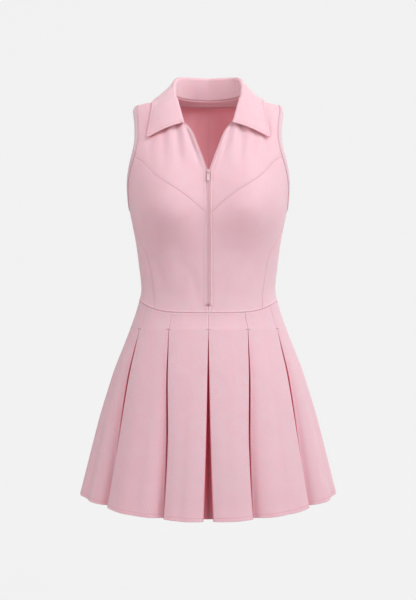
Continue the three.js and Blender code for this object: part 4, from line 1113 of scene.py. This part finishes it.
tones = {
    # the deep tones carry painted shade along seams and stitches, and the mottling
    "bodice": (0.83, 0.53, 0.585), "bodiceDeep": (0.62, 0.23, 0.29),
    # the inside tone: the knit's back, made deeper and more saturated to stand in for light bouncing inside
    # the dress
    "knitBackBounce": (0.98, 0.47, 0.52), "insideDeep": (0.6, 0.2, 0.25),
    "skirt": (0.825, 0.52, 0.575), "skirtDeep": (0.64, 0.25, 0.32),
    # pleat: painted shade, the deep saturated rose of the pleats' insides; also the colour of the skirt's
    # inside
    "pleat": (0.96, 0.12, 0.21),
    "thread": (0.7, 0.37, 0.43), "zip": (0.9, 0.6, 0.65), "metal": (0.85, 0.56, 0.61),
}


fabrics = {
    # colour, deep colour (for painted seam shade and the mottling), pitch of the ribs in metres, their lean
    # in degrees, relief, strength of the loops across them, and how deep the colour is between them
    "bodice_knit": ("bodice", "bodiceDeep", 0.0009, 0, 0.5, 0.7, 0.16),
    "bodice_inside": ("knitBackBounce", "insideDeep", 0.0009, 0, 0.5, 0.7, 0.16),
    "skirt_twill": ("skirt", "skirtDeep", 0.0034, -60, 1.0, 0.2, 0.3),
    # the skirt's inside takes the painted pleat shade as its colour
    "skirt_inside": ("pleat", "insideDeep", 0.0034, 60, 1.0, 0.2, 0.3),
}
clothFinish = {
    "Sheen Weight": 0.3, "Sheen Roughness": 0.5, "Sheen Tint": (1.0, 0.82, 0.85, 1),
    "Specular IOR Level": 0.4, "Subsurface Weight": 0.5, "Subsurface Radius": (1.0, 0.35, 0.42),
    "Subsurface Scale": 0.005,
}


def clothMaterial(name):
    colour, deep, pitch, lean, relief, cross, ribTone = fabrics[name]
    material, tree, shader = newMaterial(name)
    face = addNode(tree, "ShaderNodeGroup", {
        "Color": (*tones[colour], 1), "Deep": (*tones[deep], 1), "Pleat Shade": (*tones["pleat"], 1),
        "Pitch": pitch, "Lean": math.radians(lean), "Relief": relief, "Cross": cross,
        "Rib Tone": ribTone, "Mottle": weave["mottle"],
    }, node_tree=clothFace)
    for output, socket in (("Color", "Base Color"), ("Roughness", "Roughness"), ("Normal", "Normal")):
        tree.links.new(face.outputs[output], shader.inputs[socket])
    for socket, value in clothFinish.items():
        shader.inputs[socket].default_value = value
    return material


speckle = {"Scale": 900.0, "Detail": 3.0}
speckleDark, speckleHigh = 0.86, 0.0001


def plainMaterial(name, colour, roughness, metallic=0.0, grain=0.0):
    material, tree, shader = newMaterial(name)
    place = addNode(tree, "ShaderNodeTexCoord")
    noise = addNode(tree, "ShaderNodeTexNoise", {"Vector": place.outputs["Object"], **speckle})
    darker = [speckleDark * channel for channel in colour]
    tone = addNode(tree, "ShaderNodeMix", {
        "Factor": noise.outputs["Fac"], 6: (*colour, 1), 7: (*darker, 1)}, data_type="RGBA")
    tree.links.new(tone.outputs[2], shader.inputs["Base Color"])
    bump = addNode(tree, "ShaderNodeBump", {
        "Strength": grain, "Distance": speckleHigh, "Height": noise.outputs["Fac"]})
    tree.links.new(bump.outputs["Normal"], shader.inputs["Normal"])
    shader.inputs["Roughness"].default_value = roughness
    shader.inputs["Metallic"].default_value = metallic
    return material


# the bodice's inside material has the knit's back colour with painted bounce light
knit, knitBackBounce, twill, twillInside = (clothMaterial(name) for name in fabrics)
thread = plainMaterial("thread", tones["thread"], 0.6, grain=0.3)
coil = plainMaterial("zip_coil", tones["zip"], 0.42, grain=0.1)
enamel = plainMaterial("zip_metal", tones["metal"], 0.34, metallic=0.2, grain=0.05)

for key, piece in cloth.items():
    pair = (twill, twillInside) if key.startswith("skirt") else (knit, knitBackBounce)
    for material in pair:
        piece["object"].data.materials.append(material)
for node in ("zip_slider", "zip_pull_tab", "zip_bottom_stop"):
    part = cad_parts[node]
    part.data.materials.clear()
    part.data.materials.append(enamel)
print("materials made")


sewing = {
    "stitch": (2.3, 0.5, 0.42), "pitch": 3.1, "lift": 0.02,
    # rows of stitches, at these distances from the edge
    "yoke": edgeStyles["yokeUpper"]["stitchAt"], "placket": edgeStyles["zip"]["stitchAt"],
    "tape": (1.2, 9.6),
    "tackWide": 5, "tackPitch": 0.62, "tackLift": 0.75,
    "zipTack": (6, -421, 1.35),  # half width, height, lift
}
stitch = capsule("stitch", *sewing["stitch"], 4, 6)


def tackLine(points, normals, lift):
    return np.concatenate([points + normals * lift, normals], -1)


def barTacks():
    # short dense bars that hold the top of every pleat
    points, run = skirtLine(0)
    tangent = unit(np.gradient(points, axis=0))
    normals = np.stack([tangent[:, 1], -tangent[:, 0], np.zeros(len(tangent))], -1)
    bars = []
    tacked = skirtForm["tacked"]
    for angle in list(tacked) + [180 - a for a in tacked[:3]]:
        middle = np.interp(angle, outlineAngles, run)
        near = np.linspace(middle - sewing["tackWide"], middle + sewing["tackWide"], 9)
        facing = unit(readAt(near, run, normals))
        bars.append(tackLine(readAt(near, run, points), facing, sewing["tackLift"]))
        if 0 < angle < 180:
            bars.append(bars[-1] * (-1, 1, 1, -1, 1, 1))
    return bars


def zipTack():
    wide, height, lift = sewing["zipTack"]
    x = np.linspace(-wide, wide, 13)
    place = frontPlace(np.abs(x), np.full(len(x), float(height)))
    mirror = np.where(x < 0, -1, 1)[:, None] * np.array((1, 0, 0)) + np.array((0, 1, 1))
    return tackLine(bodicePoint(place) * mirror, bodiceNormal(place) * mirror, lift)


bodiceLines, skirtLines = [], []
collarStitch = collarForm["stitchAt"]
for side, word in sides:
    right = side > 0
    zipSide = "first" if right else "last"
    bodiceLines.append(lineOnCloth(cloth[f"front_yoke_{word}"], "bottom", sewing["yoke"], trim=1))
    for node in ("front_yoke", "front_body"):
        bodiceLines.append(lineOnCloth(cloth[f"{node}_{word}"], zipSide, sewing["placket"], trim=2))
    bodiceLines.append(cloth[f"armhole_binding_{word}"]["stitched"])
    collarEnd = "last" if right else "first"
    bodiceLines.append(lineOnCloth(cloth["collar"], collarEnd, collarStitch, leafFrom, collarStitch))
bodiceLines.append(lineOnCloth(cloth["collar"], "top", collarStitch, trim=collarStitch))
tape = cloth["neck_tape"]
tapeInside = {"outer": tape["inner"], "normal": -tape["normal"], "distances": tape["distances"]}
for distance in sewing["tape"]:
    bodiceLines.append(lineOnCloth(tapeInside, "bottom", distance, trim=2))
for key, piece in cloth.items():
    if key.startswith("skirt"):
        skirtLines.append(lineOnCloth(piece, "bottom", skirtForm["hemStitch"]))
for name, lines, bars, slotName in (
    ("stitches_bodice", bodiceLines, [zipTack()], "bodice_knit"),
    ("stitches_skirt", skirtLines, barTacks(), "skirt_twill"),
):
    parts = [spaced(line, sewing["pitch"]) for line in lines]
    for bar in bars:
        at, _, facing = spaced(bar, sewing["tackPitch"])
        parts.append((at, np.tile((0.0, 0.0, 1.0), (len(at), 1)), facing))
    at, along, facing = (np.concatenate([part[k] for part in parts]) for k in range(3))
    copiesOnPoints(name, at + facing * sewing["lift"], along, facing, stitch, thread)
    print(name, len(at))
bpy.data.objects.remove(stitch)

zipForm = {
    "pitch": 1.25, "reach": 2.9, "wide": 1.05, "thick": 0.95, "middle": 1.8, "lift": 0.2, "start": 0.6,
    # across the tape, from under the cloth to the coil: how far from the front's edge, and how far off the
    # bodice
    "tape": ((-2.2, -0.95), (0.0, -0.6), (1.2, -0.45), (2.2, -0.4)), "tapeThick": 0.5,
}
zipPath = np.concatenate([zipPlaces(bodice["zipBottom"], bodice["zipTop"], 260), openEdge[1:]])
zipLine, zipNormal = bodicePoint(zipPath), bodiceNormal(zipPath)
zipRun = lengthsAlong(zipLine, 0)
zipIn = unit(np.cross(zipNormal, unit(np.gradient(zipLine, axis=0))))
zipIn *= -np.sign(zipIn[:, :1])
tooth = capsule("coil_tooth", zipForm["reach"], zipForm["wide"], zipForm["thick"], 7, 8)


def zipTape(word, mirror):
    grid = np.array([zipLine + zipIn * away + zipNormal * out for away, out in zipForm["tape"]]) * mirror
    if mirror[0] > 0:
        grid = grid[::-1]
    normal = gridNormals(grid)
    outward = np.sign((normal * (zipNormal * mirror)).sum(-1, keepdims=True))
    normal = normal * outward
    if outward.mean() < 0:
        grid, normal = grid[::-1], normal[::-1]
    half = zipForm["tapeThick"] / 2
    uv = np.stack([lengthsAlong(grid, 1), lengthsAlong(grid, 0)], -1)
    plain = np.zeros(grid.shape[:2])
    mesh = wallMesh(f"zip_tape_{word}", grid + normal * half, grid - normal * half, uv, plain)
    addObject(f"zip_tape_{word}", mesh).data.materials.append(coil)


def zipCoil(word, mirror):
    # the two halves' turns lie between each other
    start = zipForm["start"] + (0 if mirror[0] > 0 else zipForm["pitch"] / 2)
    goal = np.arange(start, zipRun[-1] - 1, zipForm["pitch"])
    at, inward, outward = (readAt(goal, zipRun, source) for source in (zipLine, zipIn, zipNormal))
    points = at + inward * zipForm["middle"] + outward * zipForm["lift"]
    teeth = copiesOnPoints(
        f"zip_coil_{word}", points * mirror, inward * mirror, outward * mirror, tooth, coil)
    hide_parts(f"zip_chain_{word}")


for side, word in sides:
    mirror = np.array((side, 1, 1))
    zipTape(word, mirror)
    zipCoil(word, mirror)
bpy.data.objects.remove(tooth)
print("zip made")


photo = {"distance": 2.2, "eye": -0.411, "lens": 66.0, "sensor": 36.0, "shift": -0.0005}
camera = linked("camera", bpy.data.cameras.new("camera"))
camera.data.sensor_fit = "VERTICAL"
camera.data.sensor_height = photo["sensor"]
camera.data.lens = photo["lens"]
camera.location = (0, -photo["distance"], photo["eye"])
camera.rotation_euler = (math.pi / 2, 0, 0)
camera.data.shift_x = photo["shift"]
bpy.context.scene.camera = camera

backdrop = {
    # how bright it is as the camera sees it, and as it lights the dress
    "tone": (0.876, 0.876, 0.876), "seen": 0.93, "given": 0.3,
    "floor": -1.45, "wall": 3.0, "near": -3.2, "half": 5.0, "top": 3.4, "bend": 1.2,
}


def sweepMesh():
    bend, back, floor = backdrop["bend"], backdrop["wall"] - backdrop["bend"], backdrop["floor"]
    profile = [(backdrop["near"], floor), (back, floor)]
    for angle in np.radians(np.linspace(-90, 0, 16)):
        profile.append((back + bend * math.cos(angle), floor + bend + bend * math.sin(angle)))
    profile.append((backdrop["wall"], backdrop["top"]))
    points = [(x, y, z) for y, z in profile for x in (-backdrop["half"], backdrop["half"])]
    faces = [(2 * k, 2 * k + 1, 2 * k + 3, 2 * k + 2) for k in range(len(profile) - 1)]
    mesh = bpy.data.meshes.new("studio_sweep")
    mesh.from_pydata(points, [], faces)
    mesh.shade_smooth()
    return mesh


sweep = linked("studio_sweep", sweepMesh())
paper, paperTree, paperShader = newMaterial("paper")
paperShader.inputs["Base Color"].default_value = (0.1, 0.1, 0.1, 1)
paperShader.inputs["Roughness"].default_value = 1.0
paperShader.inputs["Specular IOR Level"].default_value = 0.0
paperShader.inputs["Emission Color"].default_value = (*backdrop["tone"], 1)
ray = addNode(paperTree, "ShaderNodeLightPath")
glow = addNode(paperTree, "ShaderNodeMapRange", {
    "Value": ray.outputs["Is Camera Ray"], "To Min": backdrop["given"], "To Max": backdrop["seen"]})
paperTree.links.new(glow.outputs["Result"], paperShader.inputs["Emission Strength"])
sweep.data.materials.append(paper)

world = bpy.data.worlds.new("room")
bpy.context.scene.world = world
world.use_nodes = True
air = world.node_tree.nodes["Background"]
air.inputs["Color"].default_value = (1.0, 0.985, 0.98, 1)
air.inputs["Strength"].default_value = 0.5

lamps = {
    # position, aim, size, power, tone
    "key": ((1.35, -1.45, 1.5), (0, 0, -0.35), 1.3, 38, (0.96, 1.0, 1.0)),
    "right": ((2.3, -1.3, 0.1), (0, 0, -0.4), 1.4, 21, (0.97, 1.0, 1.0)),
    "fill": ((-2.1, -2.0, 0.4), (0, 0, -0.45), 1.8, 30, (1.0, 0.97, 0.975)),
    "rim": ((1.2, 1.4, 0.8), (0, 0, -0.2), 1.2, 10, (1.0, 1.0, 1.0)),
}
for name, (place, aim, size, power, tone) in lamps.items():
    lamp = linked(name, bpy.data.lights.new(name, "AREA"))
    lamp.location = place
    lamp.rotation_euler = (Vector(aim) - Vector(place)).to_track_quat("-Z", "Y").to_euler()
    lamp.data.size = size
    lamp.data.energy = power
    lamp.data.color = tone

scene = bpy.context.scene
scene.view_settings.view_transform = "Standard"
scene.view_settings.look = "None"
print("camera and light set")
